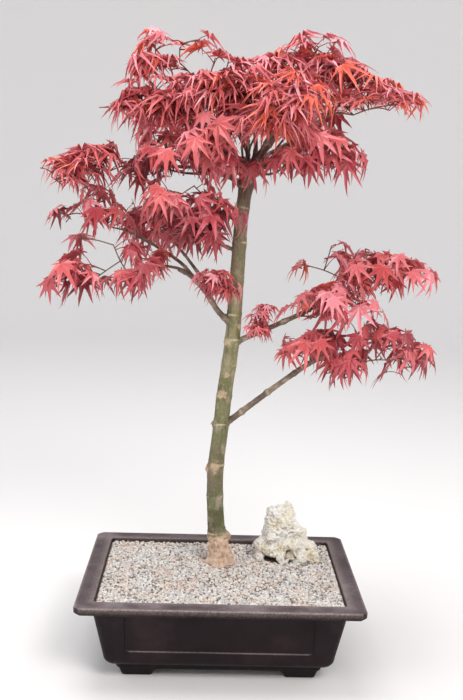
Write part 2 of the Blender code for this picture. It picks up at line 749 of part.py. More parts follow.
def tube_tree(points, radii, spare):
    """Solid of one twig, made a little fatter by the spare width."""
    bm = bmesh.new()
    loft(bm, tube_rings([Vector(p) for p in points], [r + spare for r in radii], 6))
    tree = BVHTree.FromBMesh(bm)
    bm.free()
    return tree


def twig_is_clear(points, radii, limbs, start):
    """Every point along the twig stays off every limb, but for its mass's own bough end."""
    for (p, q), r in zip(zip(points, points[1:]), radii):
        for k in range(9):
            spot = Vector(p).lerp(Vector(q), k / 8)
            if (spot - start).length < 5.0:
                continue
            for tree in limbs.values():
                near = tree.find_nearest(spot, 12.0)
                if near[0] is not None and near[3] < r + 0.9:
                    return False
    return True


def plan_twigs(limbs):
    """Stems of all masses first, then the shoots that keep clear of every other piece."""
    plans = {}
    for number, name in enumerate(MASSES):
        rng = random.Random(SEED + number)
        line = bough_points(MASSES[name][0])
        heading = (line[-1] - line[-2]).normalized()
        start = line[-1] + heading * CLEAR
        twigs, buds = grow_twigs(name, start, heading, rng)
        tree = tube_tree(*twigs[0], 0.5)
        if not twig_is_clear(*twigs[0], limbs, start):
            print(name, "stem passes close to a limb")
        if any(tree.overlap(plan["trees"][0]) for plan in plans.values()):
            print(name, "stem crosses another stem")
        plans[name] = {"twigs": twigs, "buds": buds, "trees": [tree], "start": start, "rng": rng}
    for name, plan in plans.items():
        kept = [plan["twigs"][0]]
        others = [t for other, p in plans.items() if other != name for t in p["trees"]]
        for points, radii in plan["twigs"][1:]:
            tree = tube_tree(points, radii, 0.5)
            joined = min((Vector(points[0]) - Vector(p)).length
                         for line, _ in kept for p in line) < 3.0
            clear = twig_is_clear(points, radii, limbs, plan["start"])
            if joined and clear and not any(tree.overlap(other) for other in others):
                kept.append((points, radii))
                plan["trees"].append(tree)
        spots = [Vector(p) for points, _ in kept for p in points]
        plan["twigs"] = kept
        plan["buds"] = [b for b in plan["buds"] if min((b[0] - p).length for p in spots) < 2.0]
    return plans


def make_mass(name, plan, parts, solids):
    """One mass: twigs and leaves joined by a single union."""
    kept = plan["twigs"]
    own = bmesh.new()
    for points, radii in kept:
        loft(own, tube_rings([Vector(p) for p in points], radii, 3))
    twig_solid = BVHTree.FromBMesh(own)
    own.free()
    shapes = grow_leaves(name, plan["buds"], solids, twig_solid, plan["rng"])
    group = bpy.data.collections.new(name + "_pieces")
    bpy.context.scene.collection.children.link(group)
    for points, radii in kept[1:]:
        new_object(name + "_twig", twig_mesh(points, radii), group)
    for shape in shapes:
        new_object(name + "_leaf", leaf_mesh(shape), group)
    mass = new_object(name, twig_mesh(*kept[0]), parts, LEAF)
    apply_boolean(mass, group, "UNION")
    for piece in list(group.objects):
        drop(piece)
    bpy.data.collections.remove(group)
    scraps = keep_largest(mass)
    mass.data.materials.clear()
    mass.data.materials.append(material(LEAF))
    print(name, "shoots", len(kept) - 1, "leaves", len(shapes), "scraps", scraps)
    return len(shapes)


def main():
    clear_scene()
    scene = bpy.context.scene
    parts = bpy.data.collections.new("potted_maple_bonsai")
    cutters = bpy.data.collections.new("cutters")
    scene.collection.children.link(parts)
    scene.collection.children.link(cutters)
    make_pot(parts, cutters)
    make_grit(parts, cutters)
    make_rock(parts)
    trunk = make_trunk(parts, cutters)
    limbs = make_boughs(parts, cutters)
    limbs["trunk"] = trunk
    trees = {name: tree_of(limb) for name, limb in limbs.items()}
    middle = Vector((0.0, 30.0, 560.0))
    solids = [(tree, middle, 400.0) for tree in trees.values()]
    plans = plan_twigs(trees)
    for plan in plans.values():
        solids += [(tree, middle, 400.0) for tree in plan["trees"]]
    leaves = 0
    for name, plan in plans.items():
        fat = len(plan["trees"])
        others = [s for s in solids if s[0] not in plan["trees"]]
        leaves += make_mass(name, plan, parts, others)
        solids += others[len(solids) - fat:]
    print("leaves", leaves)
    low = Vector((1e9, 1e9, 1e9))
    high = -low
    scene.view_layers[0].update()
    for thing in parts.objects:
        for corner in thing.bound_box:
            for i in range(3):
                low[i] = min(low[i], corner[i])
                high[i] = max(high[i], corner[i])
    anchor = bpy.data.objects.new("stand", None)
    parts.objects.link(anchor)
    for thing in list(parts.objects) + list(cutters.objects):
        if thing is not anchor:
            thing.parent = anchor
    anchor.location = (-(low.x + high.x) / 2, -(low.y + high.y) / 2, -low.z)
    print("size", [round(v, 4) for v in high - low], "low", [round(v, 4) for v in low])


main()
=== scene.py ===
"""Looks of the red-leaved Japanese maple bonsai in its footed pot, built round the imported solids."""
import random
from collections import namedtuple
from math import cos, exp, hypot, pi, radians, sin, sqrt
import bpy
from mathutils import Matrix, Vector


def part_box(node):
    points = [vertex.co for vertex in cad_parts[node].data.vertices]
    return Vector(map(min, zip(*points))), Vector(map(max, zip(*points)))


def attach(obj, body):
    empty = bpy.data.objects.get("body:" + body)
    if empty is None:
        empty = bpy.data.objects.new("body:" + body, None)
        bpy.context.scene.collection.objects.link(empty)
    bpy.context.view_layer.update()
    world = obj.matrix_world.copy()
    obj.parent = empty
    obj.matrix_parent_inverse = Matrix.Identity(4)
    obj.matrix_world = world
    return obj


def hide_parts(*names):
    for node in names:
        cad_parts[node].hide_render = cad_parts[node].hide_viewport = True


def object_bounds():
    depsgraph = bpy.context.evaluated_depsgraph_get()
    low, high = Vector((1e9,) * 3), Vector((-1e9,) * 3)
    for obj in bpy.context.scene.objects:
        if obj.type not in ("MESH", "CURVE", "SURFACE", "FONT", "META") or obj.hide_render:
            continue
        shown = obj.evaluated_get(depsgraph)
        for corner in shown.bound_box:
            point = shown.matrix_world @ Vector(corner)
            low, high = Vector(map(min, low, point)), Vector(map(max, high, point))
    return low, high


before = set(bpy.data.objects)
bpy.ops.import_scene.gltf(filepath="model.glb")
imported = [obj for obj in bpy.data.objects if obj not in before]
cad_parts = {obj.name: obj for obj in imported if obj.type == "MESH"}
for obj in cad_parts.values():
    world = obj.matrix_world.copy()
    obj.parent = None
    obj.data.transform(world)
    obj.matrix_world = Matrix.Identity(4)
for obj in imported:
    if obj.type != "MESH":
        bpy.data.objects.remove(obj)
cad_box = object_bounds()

from types import SimpleNamespace

import bmesh
import bpy
import numpy as np
from mathutils import Matrix, Vector, noise
from mathutils.bvhtree import BVHTree

MM = 0.001
BODY = "root"
UP, DOWN = Vector((0.0, 0.0, 1.0)), Vector((0.0, 0.0, -1.0))

# The pot's own frame, in millimetres: centred on the pot, standing on z = 0.
POT_LOW, POT_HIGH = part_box("pot")
ORIGIN = Vector(((POT_LOW.x + POT_HIGH.x) / 2, (POT_LOW.y + POT_HIGH.y) / 2, 0.0))
RIM_HALF = ((POT_HIGH.x - POT_LOW.x) / 2 / MM, (POT_HIGH.y - POT_LOW.y) / 2 / MM)
RIM_TOP = POT_HIGH.z / MM
REACH_LOW = (cad_box[0] - ORIGIN) / MM
REACH_HIGH = (cad_box[1] - ORIGIN) / MM
REACH_MARGIN = (1.0, 5.0, 1.0)

# Camera: its place, its pitch, yaw and roll, and its focal length in pixels of the 463 x 700 frame.
CAMERA_PLACE = Vector((-22.4, -1231.1, 609.4))
CAMERA_TURNS = (0.16095, 0.0233, 0.03006)
CAMERA_FOCAL, FRAME_HEIGHT = 969.7, 700
SENSOR = 36.0
CAMERA_CLIP = (0.02, 30.0)

# Pot profile: insets from the rim edge and heights.
LIP_HEIGHT = 9.5
LIP_LOW = RIM_TOP - LIP_HEIGHT
LIP_CORNER, BODY_CORNER, CORNER_STEPS = 8.0, 9.0, 8
WALL_TOP_INSET, WALL_LOW_INSET, WALL_LOW_Z = 19.5, 32.9, 34.5
BASE_INSET, BASE_Z = 47.0, 13.0
WALL, FLOOR = 3.2, 4.5
POT_FOOT = [  # (inset, height) of the wall's round turn under and of the base below it
    (33.1, 32.8), (33.9, 30.0), (35.2, 27.5), (37.1, 25.0), (39.8, 22.9), (43.0, 21.6), (45.6, 21.2),
    (46.8, 20.4), (47.2, 18.5), (47.6, 14.6), (48.2, 13.3), (49.2, 13.0), (63.0, 13.0),
]
PANEL_HALF = (118.0, 76.0)
PANEL_LOW_Z, PANEL_HIGH_Z = 43.5, 96.0
PANEL_DEPTH, PANEL_EDGE, PANEL_CORNER = 1.5, 1.1, 6.0
FOOT_IN, FOOT_OUT = (84.0, 42.0), (123.0, 77.0)
FOOT_FLARE, FOOT_SLOPE, FOOT_CORNER = 5.0, 17.0, 4.0
FOOT_LEVELS = (0.0, 0.5, 1.4, 4.0, 7.0, 10.0, 12.5, BASE_Z + 2.0)

# Stage: a flat round floor, the bend at its edge and the height of its wall, in metres, and lamps.
STAGE_FLAT, STAGE_BEND, STAGE_TALL, STAGE_SIDES = 2.8, 1.6, 3.4, 72
LAMPS = {  # place, aim, size, power and colour: a broad key light, one from above and a weak fill
    "key": ((0.8, -1.7, 1.9), (0.0, 0.0, 0.45), 0.9, 31.0, (1.0, 0.98, 0.95)),
    "top": ((-0.3, 0.0, 2.4), (0.0, 0.0, 0.5), 1.2, 23.0, (1.0, 0.99, 0.98)),
    "fill": ((-1.9, -1.2, 1.0), (0.0, 0.0, 0.45), 1.4, 11.0, (0.97, 0.98, 1.0)),
}
SKY_LIGHT = ((0.92, 0.94, 1.0, 1.0), 0.68)

# Grit and rock.
GRIT_TOP = 108.0
GRIT_STEP = 3.5
GRIT_SINK = 1.3
GRIT_BANK, GRIT_BANK_WIDE = 1.6, 12.0
BED_CELLS, BED_SINK, BED_GRAIN, BED_DEEP = (120, 84), 1.2, 0.9, 14.0
PEBBLE_SEED = 77
PEBBLE_HALF, PEBBLE_USUAL, PEBBLE_BIG = (1.5, 2.8), 0.93, 1.3  # the rest are bigger by the last
PEBBLE_WIDE, PEBBLE_TALL, PEBBLE_SHAKE = (0.62, 0.95), (0.5, 0.8), (0.80, 1.18)
PEBBLE_LIFTS, PEBBLE_LOOSE, UPPER_GAPS = (-0.9, 0.2), (-0.4, 0.5), 0.30  # lower and upper layer
ROCK_CLEAR, TRUNK_CLEAR = 0.70, 14.0  # no pebbles nearer than these
WARMTH, PATCH_SCALE = 2.2, 0.035  # of the grit's warm patches
ROCK_CENTRE, ROCK_HALF = (92.0, 61.0), (47.0, 30.0)
ROCK_TURN = radians(14.0)
ROCK_VOXEL = 1.1
ROCK_SUNK = -1.0
ROCK_CRAG, ROCK_GRAIN = 4.2, 1.1
ROCK_RIDGES = [(3.4, 0.32, 0.16, (7, 1, 4)), (2.4, 0.30, 0.37, (1, 5, 2))]  # size, middle, scale, shift
ROCK_HOLES = [(3.4, 0.20, 0.24, (3, 9, 2)), (1.5, 0.22, 0.55, (6, 2, 8))]  # size, low, scale, shift
ROCK_LUMPS = [  # (x, y, height, half width, half depth, half height) of the lumps it is made of
    (0, 4, 17, 37, 25, 19), (-32, -3, 17, 13, 15, 13), (28, -1, 13, 15, 17, 14), (-6, 5, 36, 26, 20, 23),
    (-10, 5, 56, 21, 16, 17), (-22, 5, 63, 8, 9, 8), (-11, 3, 66, 8, 9, 9), (1, 5, 66, 8, 9, 11),
    (14, 3, 30, 14, 14, 14), (-38, -9, 4, 7, 9, 8), (-4, -19, 5, 9, 9, 9), (18, -15, 6, 15, 13, 10),
    (36, -12, 5, 9, 9, 9), (-20, -10, 31, 10, 10, 8), (12, -9, 40, 9, 8, 9), (-2, -11, 54, 8, 7, 8),
    (6, 22, 10, 22, 9, 12), (-24, 18, 12, 12, 9, 12),
]
ROCK_PITS = [  # (x, y, height, radius, depth) of its caves and larger pits
    (-18, -26, 0, 8, 5), (3, -27, 7, 9, 6), (-17, -13, 47, 4, 5), (8, -17, 30, 5, 5), (13, -12, 52, 3, 4),
    (-36, -15, 22, 4, 4), (28, -18, 20, 5, 5), (-6, -9, 64, 4, 4), (0, 26, 26, 8, 7),
    (-24, 20, 30, 6, 5), (22, 16, 28, 6, 5), (-8, 18, 52, 5, 4), (42, 2, 14, 5, 4),
    (-44, 2, 10, 5, 4), (-30, 4, 44, 4, 4), (4, -22, 14, 5, 4), (-5, 8, 77, 4, 5), (-17, 6, 74, 3, 3),
    (3, -25, 17, 9, 4), (10, -24, 9, 6, 4),
]

# Trunk: points of its centre line, and what its taper is worked out from.
TRUNK_LINE = [
    (0.0, 35.0, 108.3), (0.3, 35.0, 127.0), (-5.2, 34.5, 149.0), (-9.3, 34.0, 200.0), (-9.2, 34.5, 246.0),
    (-4.0, 36.0, 300.0), (-0.6, 36.5, 344.0), (7.4, 35.5, 413.0), (9.8, 35.0, 462.0),
    (12.2, 34.5, 520.0), (15.2, 34.8, 580.0), (22.3, 35.0, 641.0),
]
TRUNK_SIDES, TRUNK_LEVELS, TRUNK_DOME = 72, 540, 8
DOME_TURN, DOME_TALL = 0.94, 6.5
TRUNK_RADIUS, TRUNK_TIP_RADIUS = 11.4, 8.4
ROOT_RIDGE, ROOT_FALL = 0.13, 14.0
BARK_ROUND = 11.0  # radius at which the bark's pattern is read
FLARE, FLARE_FALL = 7.6, 19.0
FORK_SWELL, FORK_SWELL_HALF = 2.6, 26.0
GRAFT_TOP, GRAFT_SWELL, GRAFT_RISE = 151.0, 1.2, (120.0, 146.0)
BEADS, BEAD_HIGH, BEAD_PALE = (0.46, 0.62), 0.4, 0.65
RING_SWAY, RING_HALF, RING_HIGH, RING_DIP = (0.9, 0.5), 1.5, 0.35, 0.15
RING_SWELL, RING_SWELL_HALF = 0.45, 7.5
TRUNK_RINGS = [153.0, 204.0, 247.0, 303.0, 341.0, 384.0, 419.0, 452.0, 500.0, 545.0, 590.0, 617.0]
KNOBS = [  # (height, side angle, how far it stands out, its half size) of scars and stubs
    (149.0, -14.0, 6.4, 7.0), (122.0, 165.0, 2.4, 9.0), (241.0, 185.0, 2.9, 7.0),
    (247.0, 262.0, 1.5, 8.0), (303.0, 170.0, 3.2, 3.6), (371.0, 262.0, 1.3, 4.6),
    (415.0, 215.0, 2.0, 6.0), (436.0, 320.0, 1.6, 4.0), (345.0, 250.0, 0.3, 7.5),
]

# Bark colours up the trunk: cork over the graft, olive and grey-brown, then wine-brown young wood.
BARK = [
    (110.0, (238, 198, 172)), (152.0, (206, 186, 142)), (162.0, (98, 84, 66)),
    (205.0, (104, 102, 70)), (250.0, (140, 122, 102)), (300.0, (122, 122, 84)),
    (440.0, (154, 146, 108)), (560.0, (132, 118, 96)), (640.0, (112, 90, 84)),
]

# Boughs, each named for the mass it bears: points it passes, then radius at root and tip.
Bough = namedtuple("Bough", "points root tip")
BOUGHS = {name: Bough(*row) for name, row in {
    "right_low": ([(-3, 36, 300), (14, 33, 314), (55, 25, 349), (97, 15, 384), (114, 11, 396),
        (128, 7, 404)], 5.6, 3.6),
    "right_mid": ([(7, 36, 408), (22, 36, 419), (60, 38, 436), (104, 42, 457), (118, 44, 467)], 5.2, 3.4),
    "right_front": ([(52, 37, 432), (66, 28, 441), (82, 18, 450)], 3.4, 2.6),
    "left_low": ([(9, 35, 436), (-12, 28, 456), (-30, 20, 483), (-48, 12, 502), (-64, 8, 511)], 5.0, 3.6),
    "left_back": ([(-20, 25, 468), (-30, 46, 490), (-54, 68, 520), (-66, 78, 533)], 3.0, 2.4),
    "left_out": ([(-42, 15, 497), (-62, 32, 517), (-96, 42, 538), (-126, 48, 552)], 3.0, 2.4),
    "left_mid": ([(13, 35, 534), (-4, 28, 540), (-16, 16, 546)], 3.4, 2.6),
    "left_high": ([(18, 35, 616), (-4, 30, 630), (-25, 25, 633), (-44, 19, 632)], 4.6, 3.2),
    "left_far": ([(-22, 26, 633), (-50, 44, 640), (-92, 56, 640), (-128, 42, 640)], 3.0, 2.2),
    "top_left": ([(20, 35, 634), (2, 35, 650), (-12, 33, 660), (-24, 29, 678)], 5.4, 3.2),
    "top_peak": ([(-6, 34, 655), (-8, 38, 684), (-14, 38, 712), (-22, 36, 736)], 3.6, 2.6),
    "top_middle": ([(23, 35, 636), (30, 31, 662), (28, 22, 688)], 4.4, 3.0),
    "top_right": ([(22, 36, 634), (38, 37, 658), (60, 37, 688), (70, 35, 710)], 5.4, 3.2),
    "top_tip": ([(20, 33, 622), (44, 26, 646), (74, 24, 672), (112, 22, 704)], 4.6, 2.8),
    "drop": ([(60, 25, 659), (82, 14, 655), (98, 8, 660)], 2.6, 2.2),
    "right_inner": ([(24, 36, 420), (33, 34, 428), (38, 31, 437)], 2.0, 1.7),
    "left_inner": ([(-33, 18, 486), (-28, 10, 490), (-22, 4, 491)], 2.0, 1.7),
    "top_inner": ([(-2, 34, 654), (-8, 18, 661), (-13, 4, 666)], 3.0, 2.4),
    "front": ([(19, 34, 626), (32, 8, 652), (44, -24, 680)], 4.0, 2.8),
    "back": ([(20, 36, 626), (22, 66, 652), (22, 90, 680)], 4.8, 3.0),
    "back_right": ([(21, 60, 648), (54, 74, 664), (78, 88, 678)], 3.6, 2.6),
    "back_left": ([(21, 64, 652), (-8, 78, 658), (-36, 92, 664)], 3.6, 2.6),
}.items()}
BOUGH_SLIM, BOUGH_STEP, THICK_ROOT = 0.82, 1.1, 3.5
COLLAR, COLLAR_LONG = 0.50, 2.1
FIRST_KNOT, KNOT_EVERY, KNOT_HALF, KNOT_HIGH = 17.0, 26.0, 1.8, 0.24

# Foliage masses: centre and half sizes of the space, count of shoots, leaf size and tier.
Mass = namedtuple("Mass", "centre half count scale tier name")
MASSES = [Mass(*row, name) for name, row in {
    "right_low": ((170, 4, 405), (112, 66, 50), 7, 1.0, "low"),
    "right_front": ((134, 0, 463), (72, 56, 36), 4, 0.95, "low"),
    "right_mid": ((180, 50, 507), (106, 66, 52), 6, 1.0, "low"),
    "right_inner": ((50, 18, 440), (34, 34, 30), 1, 0.44, "bud"),
    "left_low": ((-146, -6, 503), (107, 66, 55), 6, 1.0, "low"),
    "left_inner": ((-14, -2, 484), (46, 34, 30), 1, 0.62, "bud"),
    "left_back": ((-92, 106, 558), (78, 62, 48), 3, 1.05, "back"),
    "left_out": ((-180, 56, 574), (66, 58, 44), 4, 1.0, "low"),
    "left_mid": ((-46, -28, 584), (76, 60, 50), 4, 1.0, "low"),
    "left_high": ((-98, 0, 646), (70, 62, 48), 5, 1.0, "low"),
    "left_far": ((-174, 24, 634), (78, 58, 42), 5, 1.0, "dome"),
    "top_inner": ((-28, -22, 656), (58, 54, 46), 3, 1.0, "low"),
    "top_left": ((-98, 4, 708), (72, 60, 46), 5, 1.0, "dome"),
    "top_peak": ((-70, 32, 772), (76, 58, 46), 5, 1.0, "dome"),
    "top_middle": ((-8, -8, 730), (76, 58, 56), 6, 1.0, "dome"),
    "top_right": ((98, 28, 760), (78, 60, 52), 5, 1.0, "dome"),
    "top_tip": ((176, 22, 724), (74, 60, 50), 5, 1.0, "dome"),
    "drop": ((116, -4, 648), (72, 54, 46), 3, 1.0, "low"),
    "front": ((62, -74, 698), (68, 54, 48), 4, 1.0, "dome"),
    "back": ((22, 138, 728), (80, 62, 52), 4, 1.05, "back"),
    "back_right": ((112, 122, 698), (72, 60, 50), 3, 1.05, "back"),
    "back_left": ((-78, 118, 686), (76, 62, 50), 3, 1.05, "back"),
}.items()]
SPRAYS = {  # more shoots that the photograph shows, as points each mass's twigs also grow to
    "top_inner": [(-2, -30, 646), (-40, -10, 634), (8, -20, 650), (18, -30, 640), (-4, -34, 684),
        (6, -36, 636)],
    "drop": [(74, -12, 640), (56, 0, 650), (160, -10, 662), (44, -12, 638), (34, -28, 642)],
    "left_high": [(-120, 4, 622), (-60, -20, 628), (-118, -10, 614)],
    "left_far": [(-226, 10, 622), (-214, 22, 612), (-184, 20, 610)],
    "left_out": [(-206, 34, 572), (-176, 24, 556), (-216, 30, 556)],
    "left_mid": [(-30, -36, 560), (-66, -20, 556), (-16, -30, 572), (-64, -30, 600), (-38, -36, 546),
        (-12, -34, 556)],
    "left_low": [(-216, -10, 486), (-104, -20, 500), (-190, 0, 546), (-200, 10, 500), (-184, -14, 550),
        (-224, -10, 494), (-122, -30, 502), (-232, -4, 484)],
    "left_inner": [(4, -14, 484), (-36, -14, 496)],
    "top_peak": [(-118, 20, 766), (-60, 20, 792), (-128, 24, 764), (-100, 24, 794), (-44, 24, 796),
        (-132, 20, 754)],
    "top_left": [(-142, 0, 712), (-120, 10, 728), (-146, 4, 702)],
    "top_middle": [(-30, -20, 716)],
    "front": [(44, -60, 676), (26, -60, 690)],
    "top_right": [(52, 28, 770), (96, 28, 796)],
    "right_inner": [(48, 6, 459), (32, 10, 432)],
    "right_mid": [(134, 40, 544), (184, 40, 540), (226, 40, 528), (210, 36, 486), (104, 40, 514),
        (196, 40, 496), (92, 34, 512), (146, 44, 548)],
    "right_front": [(104, -16, 480)],
    "right_low": [(208, 0, 442), (236, 0, 418), (228, 0, 382), (150, -20, 380), (90, -10, 404),
        (94, -8, 424), (124, -10, 428), (200, 0, 440), (164, -20, 384), (256, 0, 398), (224, 0, 446)],
}
BRIDGES = [  # (centre, half sizes) of where leaf tips hang between one mass and the next
    ((34.0, -12.0, 632.0), (46.0, 42.0, 30.0)), ((-28.0, -16.0, 526.0), (32.0, 36.0, 34.0)),
]
SPACE_POWER = 2.4
SPACE_MARGIN = 0.05
SEED = 230
TWIG_TIP = 1.3
TWIG_SLIM = 0.62
BARE_TIP = 12.0
TARGET_TRIES, TARGET_INSET, TARGET_LIFT = 60, 28.0, 7.0  # of shoot ends
HUB_REACH, HUB_SINK = 0.62, 0.12  # where a mass's stem ends, on the way to its centre
SHOOT_LEAST, SHOOT_SWAY = 9.0, 0.07
END_TURNS, SIDE_TURNS = (0.0, 112.0, -112.0), (95.0, -95.0)

# Thin branches that fan out of the fork: how many, their spread from upright and their reach.
FORK_TWIGS, FORK_SPREAD, FORK_REACH, FORK_RADIUS = 13, 66.0, (62.0, 96.0), (1.7, 1.1)

# Finer twigs on each shoot, and the leaves.
FINE_SEED = 911
FINE_PLACES = (0.30, 0.62)
FINE_LENGTH = (13.0, 27.0)
FINE_TURN, FINE_RISE = (38.0, 84.0), (-0.1, 0.55)
FINE_RADIUS, FINE_TIP, FINE_ARCH = 0.95, 0.6, 0.09
LEAF_LENGTH, LEAF_SPREAD = 37.0, 0.2
LEAF_RISE, LEAF_ROLL = (0.0, 52.0), (-40.0, 40.0)
LEAF_CURL, LEAF_TWIST = (-0.05, 0.22), (-0.16, 0.16)
LEAF_TRIES, LEAF_SLACK = 22, (14.0, 7.0)  # its turn may be off by this, and more each try
LEAF_STEP = 2.6
LEAF_THICK = 0.5
LOBES = [(0.0, 1.0), (35.0, 0.90), (71.0, 0.66), (116.0, 0.31)]
NOTCHES = [0.40, 0.36, 0.26, 0.08]
LOBE_STATIONS = [(0.46, 0.086), (0.68, 0.068), (0.86, 0.032)]
STALK = (12.0, 26.0)
STALK_HALF, STALK_ARCH = 0.5, 0.07
BLADE_STRETCH, BLADE_WAVE = 0.10, 0.07
Tier = namedtuple("Tier", "tilt droop fold slim apart share orange")
TIERS = {  # tilt below level, droop, fold and width of lobes, space between, twigs kept, orange
    "low": Tier((28.0, 84.0), (0.08, 0.38), (12.0, 38.0), 0.88, 22.0, 0.85, 0.04),
    "bud": Tier((20.0, 70.0), (0.10, 0.40), (15.0, 40.0), 0.9, 14.0, 0.6, 0.0),
    "dome": Tier((-24.0, 44.0), (0.22, 0.74), (20.0, 54.0), 0.70, 13.5, 1.0, 0.18),
    "back": Tier((20.0, 80.0), (0.10, 0.45), (16.0, 44.0), 0.95, 20.0, 0.6, 0.05),
}

# Sky that shows through and round the crown from the front: (x, z, half width, half height)
# of each gap, where the camera's line of sight meets the plane y = SKY_PLANE.
SKY_PLANE = 20.0
SKY = [
    (-33, 765, 21, 9), (-95, 738, 12, 6), (-70, 752, 6, 3), (-58, 757, 8, 12), (-84, 780, 22, 6),
    (-36, 783, 14, 4), (-66, 806, 20, 14), (105, 787, 14, 4), (128, 701, 22, 5), (146, 706, 14, 6),
    (26, 660, 22, 9), (-82, 675, 13, 6), (8, 652, 8, 6), (-152, 637, 12, 6), (-135, 605, 10, 6),
    (-62, 618, 26, 10), (-8, 606, 8, 8), (-170, 594, 9, 6), (-200, 560, 10, 12), (-179, 557, 4, 13),
    (-155, 540, 15, 16), (-163, 514, 24, 12), (-86, 543, 7, 6), (-68, 546, 8, 5), (-48, 537, 6, 6),
    (-60, 512, 17, 9), (-4, 524, 8, 12), (30, 582, 10, 14), (120, 513, 20, 9), (168, 462, 6, 10),
    (-200, 684, 44, 26), (-238, 664, 24, 22), (-132, 660, 10, 16), (-152, 726, 18, 8),
    (-140, 792, 20, 20), (-176, 620, 22, 4), (-208, 597, 14, 8), (-240, 504, 16, 10),
    (-75, 480, 28, 16), (-100, 460, 22, 12), (188, 558, 38, 16), (118, 550, 16, 14),
    (236, 550, 22, 12), (246, 544, 22, 10), (278, 532, 14, 18), (76, 538, 20, 14), (65, 480, 22, 14),
    (226, 472, 30, 8), (105, 443, 36, 6), (158, 420, 12, 8), (198, 405, 26, 5), (195, 383, 7, 12),
    (220, 374, 7, 14), (288, 405, 14, 30), (252, 432, 12, 9), (45, 390, 20, 12), (90, 368, 28, 14),
    (5, 795, 25, 20), (195, 790, 45, 30), (196, 768, 22, 12), (225, 757, 22, 18), (40, 805, 30, 18),
    (186, 694, 32, 24), (198, 650, 26, 34), (75, 614, 26, 12), (110, 600, 30, 10), (38, 474, 20, 6),
]

# Painted light and shade on the leaves: a mass has deeper tints, as painted shade, where others hang
# close above it, and paler ones, as painted light, near the top.
SHADE, SHADE_WIDE, SHADE_TALL = 0.26, 110.0, (25.0, 150.0)
LIT_FROM, LIT_HIGH = 0.86, 2.0
MOOD, TINT_SPREAD = 0.09, 0.15

# Leaf tints, partly the leaves' own spread of reds and partly painted light and shade, from deepest
# painted shade to palest painted sheen, as sRGB, and last the odd orange one.
TINTS = {
    "wine": (136, 40, 47), "crimson": (158, 50, 60), "red": (184, 68, 78),
    "scarlet": (206, 90, 92), "coral": (219, 114, 119), "rose": (227, 134, 143),
    "blush": (235, 157, 167), "orange": (226, 102, 78),
}
GRITS = {  # colour, share, and how much more there is of it in the warm patches
    "pale": ((230, 226, 221), 0.30, -0.6), "grey": ((202, 199, 196), 0.28, -0.8),
    "beige": ((222, 211, 199), 0.20, 0.5), "pink": ((214, 197, 188), 0.10, 1.0),
    "tan": ((200, 178, 160), 0.04, 1.0), "dark": ((142, 136, 131), 0.08, 0.0),
}
# Tones of the bed under the pebbles, dark as painted shade in the gaps between them.
BED_PAINTED_SHADE = [(0.35, (70, 62, 56)), (0.5, (120, 108, 98)), (0.68, (170, 158, 146))]

# Finely grained finishes: base roughness, the grain's scale, detail and roughness, what it maps onto
# in the surface's roughness, and its height in metres and strength as relief.
GRAINS = {
    "bed": (0.95, (900.0, 4.0, 0.7), (0.85, 1.0), (0.0012, 1.0)),
    "pebble": (0.85, (1600.0, 3.0, 0.7), (0.7, 0.98), (0.0004, 0.7)),
    "twig": (0.6, (700.0, 3.0, 0.6), (0.45, 0.75), (0.0003, 0.6)),
    "leaf": (0.5, (420.0, 4.0, 0.6), (0.30, 0.52), (0.0003, 0.5)),
}
LEAF_GLOSS = {"Specular_IOR_Level": 0.7, "Sheen_Weight": 0.2, "Sheen_Roughness": 0.45}


# ---------------------------------------------------------------- meshes and pieces


class Soup:
    """Points and faces gathered for one piece, in the pot's millimetres."""

    def __init__(self):
        self.points, self.faces = [], []

    def add(self, points, faces):
        base = len(self.points)
        self.points.extend(points)
        self.faces.extend(tuple(base + i for i in face) for face in faces)

    def loft(self, rings, closed=True):
        """Skin over rings of one point count, with a face at its start and, if closed, its end."""
        count = len(rings[0])
        last = (len(rings) - 1) * count
        faces = []
        for low in range(0, last, count):
            for i in range(count):
                j = (i + 1) % count
                faces.append((low + i, low + j, low + count + j, low + count + i))
        faces.append(range(count)[::-1])
        if closed:
            faces.append(range(last, last + count))
        self.add([p for ring in rings for p in ring], faces)


def link_object(name, data):
    made = bpy.data.objects.new(name, data)
    bpy.context.scene.collection.objects.link(made)
    return made


def mesh_object(name, points, faces, finish, smooth):
    """Mesh of one finish, shaded smooth but for edges sharper than the smooth angle."""
    mesh = bpy.data.meshes.new(name)
    mesh.from_pydata(points, [], faces)
    mesh.update()
    mesh.materials.append(finish)
    if smooth:
        mesh.shade_smooth()
        if smooth < 180.0:
            mesh.set_sharp_from_angle(angle=radians(smooth))
    return link_object(name, mesh)


def piece(name, soup, finish, slot, nodes, smooth=180.0, **values):
    """Make a soup one piece in place of its nodes; its finish reads the values at its points."""
    points = [(p[0] * MM + ORIGIN.x, p[1] * MM + ORIGIN.y, p[2] * MM) for p in soup.points]
    made = mesh_object(name, points, soup.faces, finish, smooth)
    for key, numbers in values.items():
        made.data.attributes.new(key, "FLOAT", "POINT").data.foreach_set("value", numbers)
    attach(made, BODY)
    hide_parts(*nodes)


def line_point(points, where):
    """Point at a fraction of the way along a smooth line through the given points."""
    spans = len(points) - 1
    place = clamp(where) * spans
    i = min(int(place), spans - 1)
    t = place - i
    b, c = Vector(points[i]), Vector(points[i + 1])
    a = Vector(points[i - 1]) if i > 0 else b * 2 - c
    d = Vector(points[i + 2]) if i + 2 <= spans else c * 2 - b
    return 0.5 * (2 * b + (c - a) * t + (2 * a - 5 * b + 4 * c - d) * t * t
                  + (3 * b - a - 3 * c + d) * t ** 3)


def line_points(points, count):
    return [line_point(points, i / (count - 1)) for i in range(count)]


def frames(points):
    """Direction and two directions square to it at each point, carried along without twist."""
    out = []
    side = None
    for i in range(len(points)):
        ahead = points[min(i + 1, len(points) - 1)] - points[max(i - 1, 0)]
        ahead.normalize()
        if side is None:
            side = ahead.cross(Vector((0.0, 1.0, 0.0) if abs(ahead.y) < 0.9 else (1.0, 0.0, 0.0)))
        side = (side - ahead * side.dot(ahead)).normalized()
        out.append((side.copy(), ahead.cross(side), ahead))
    return out


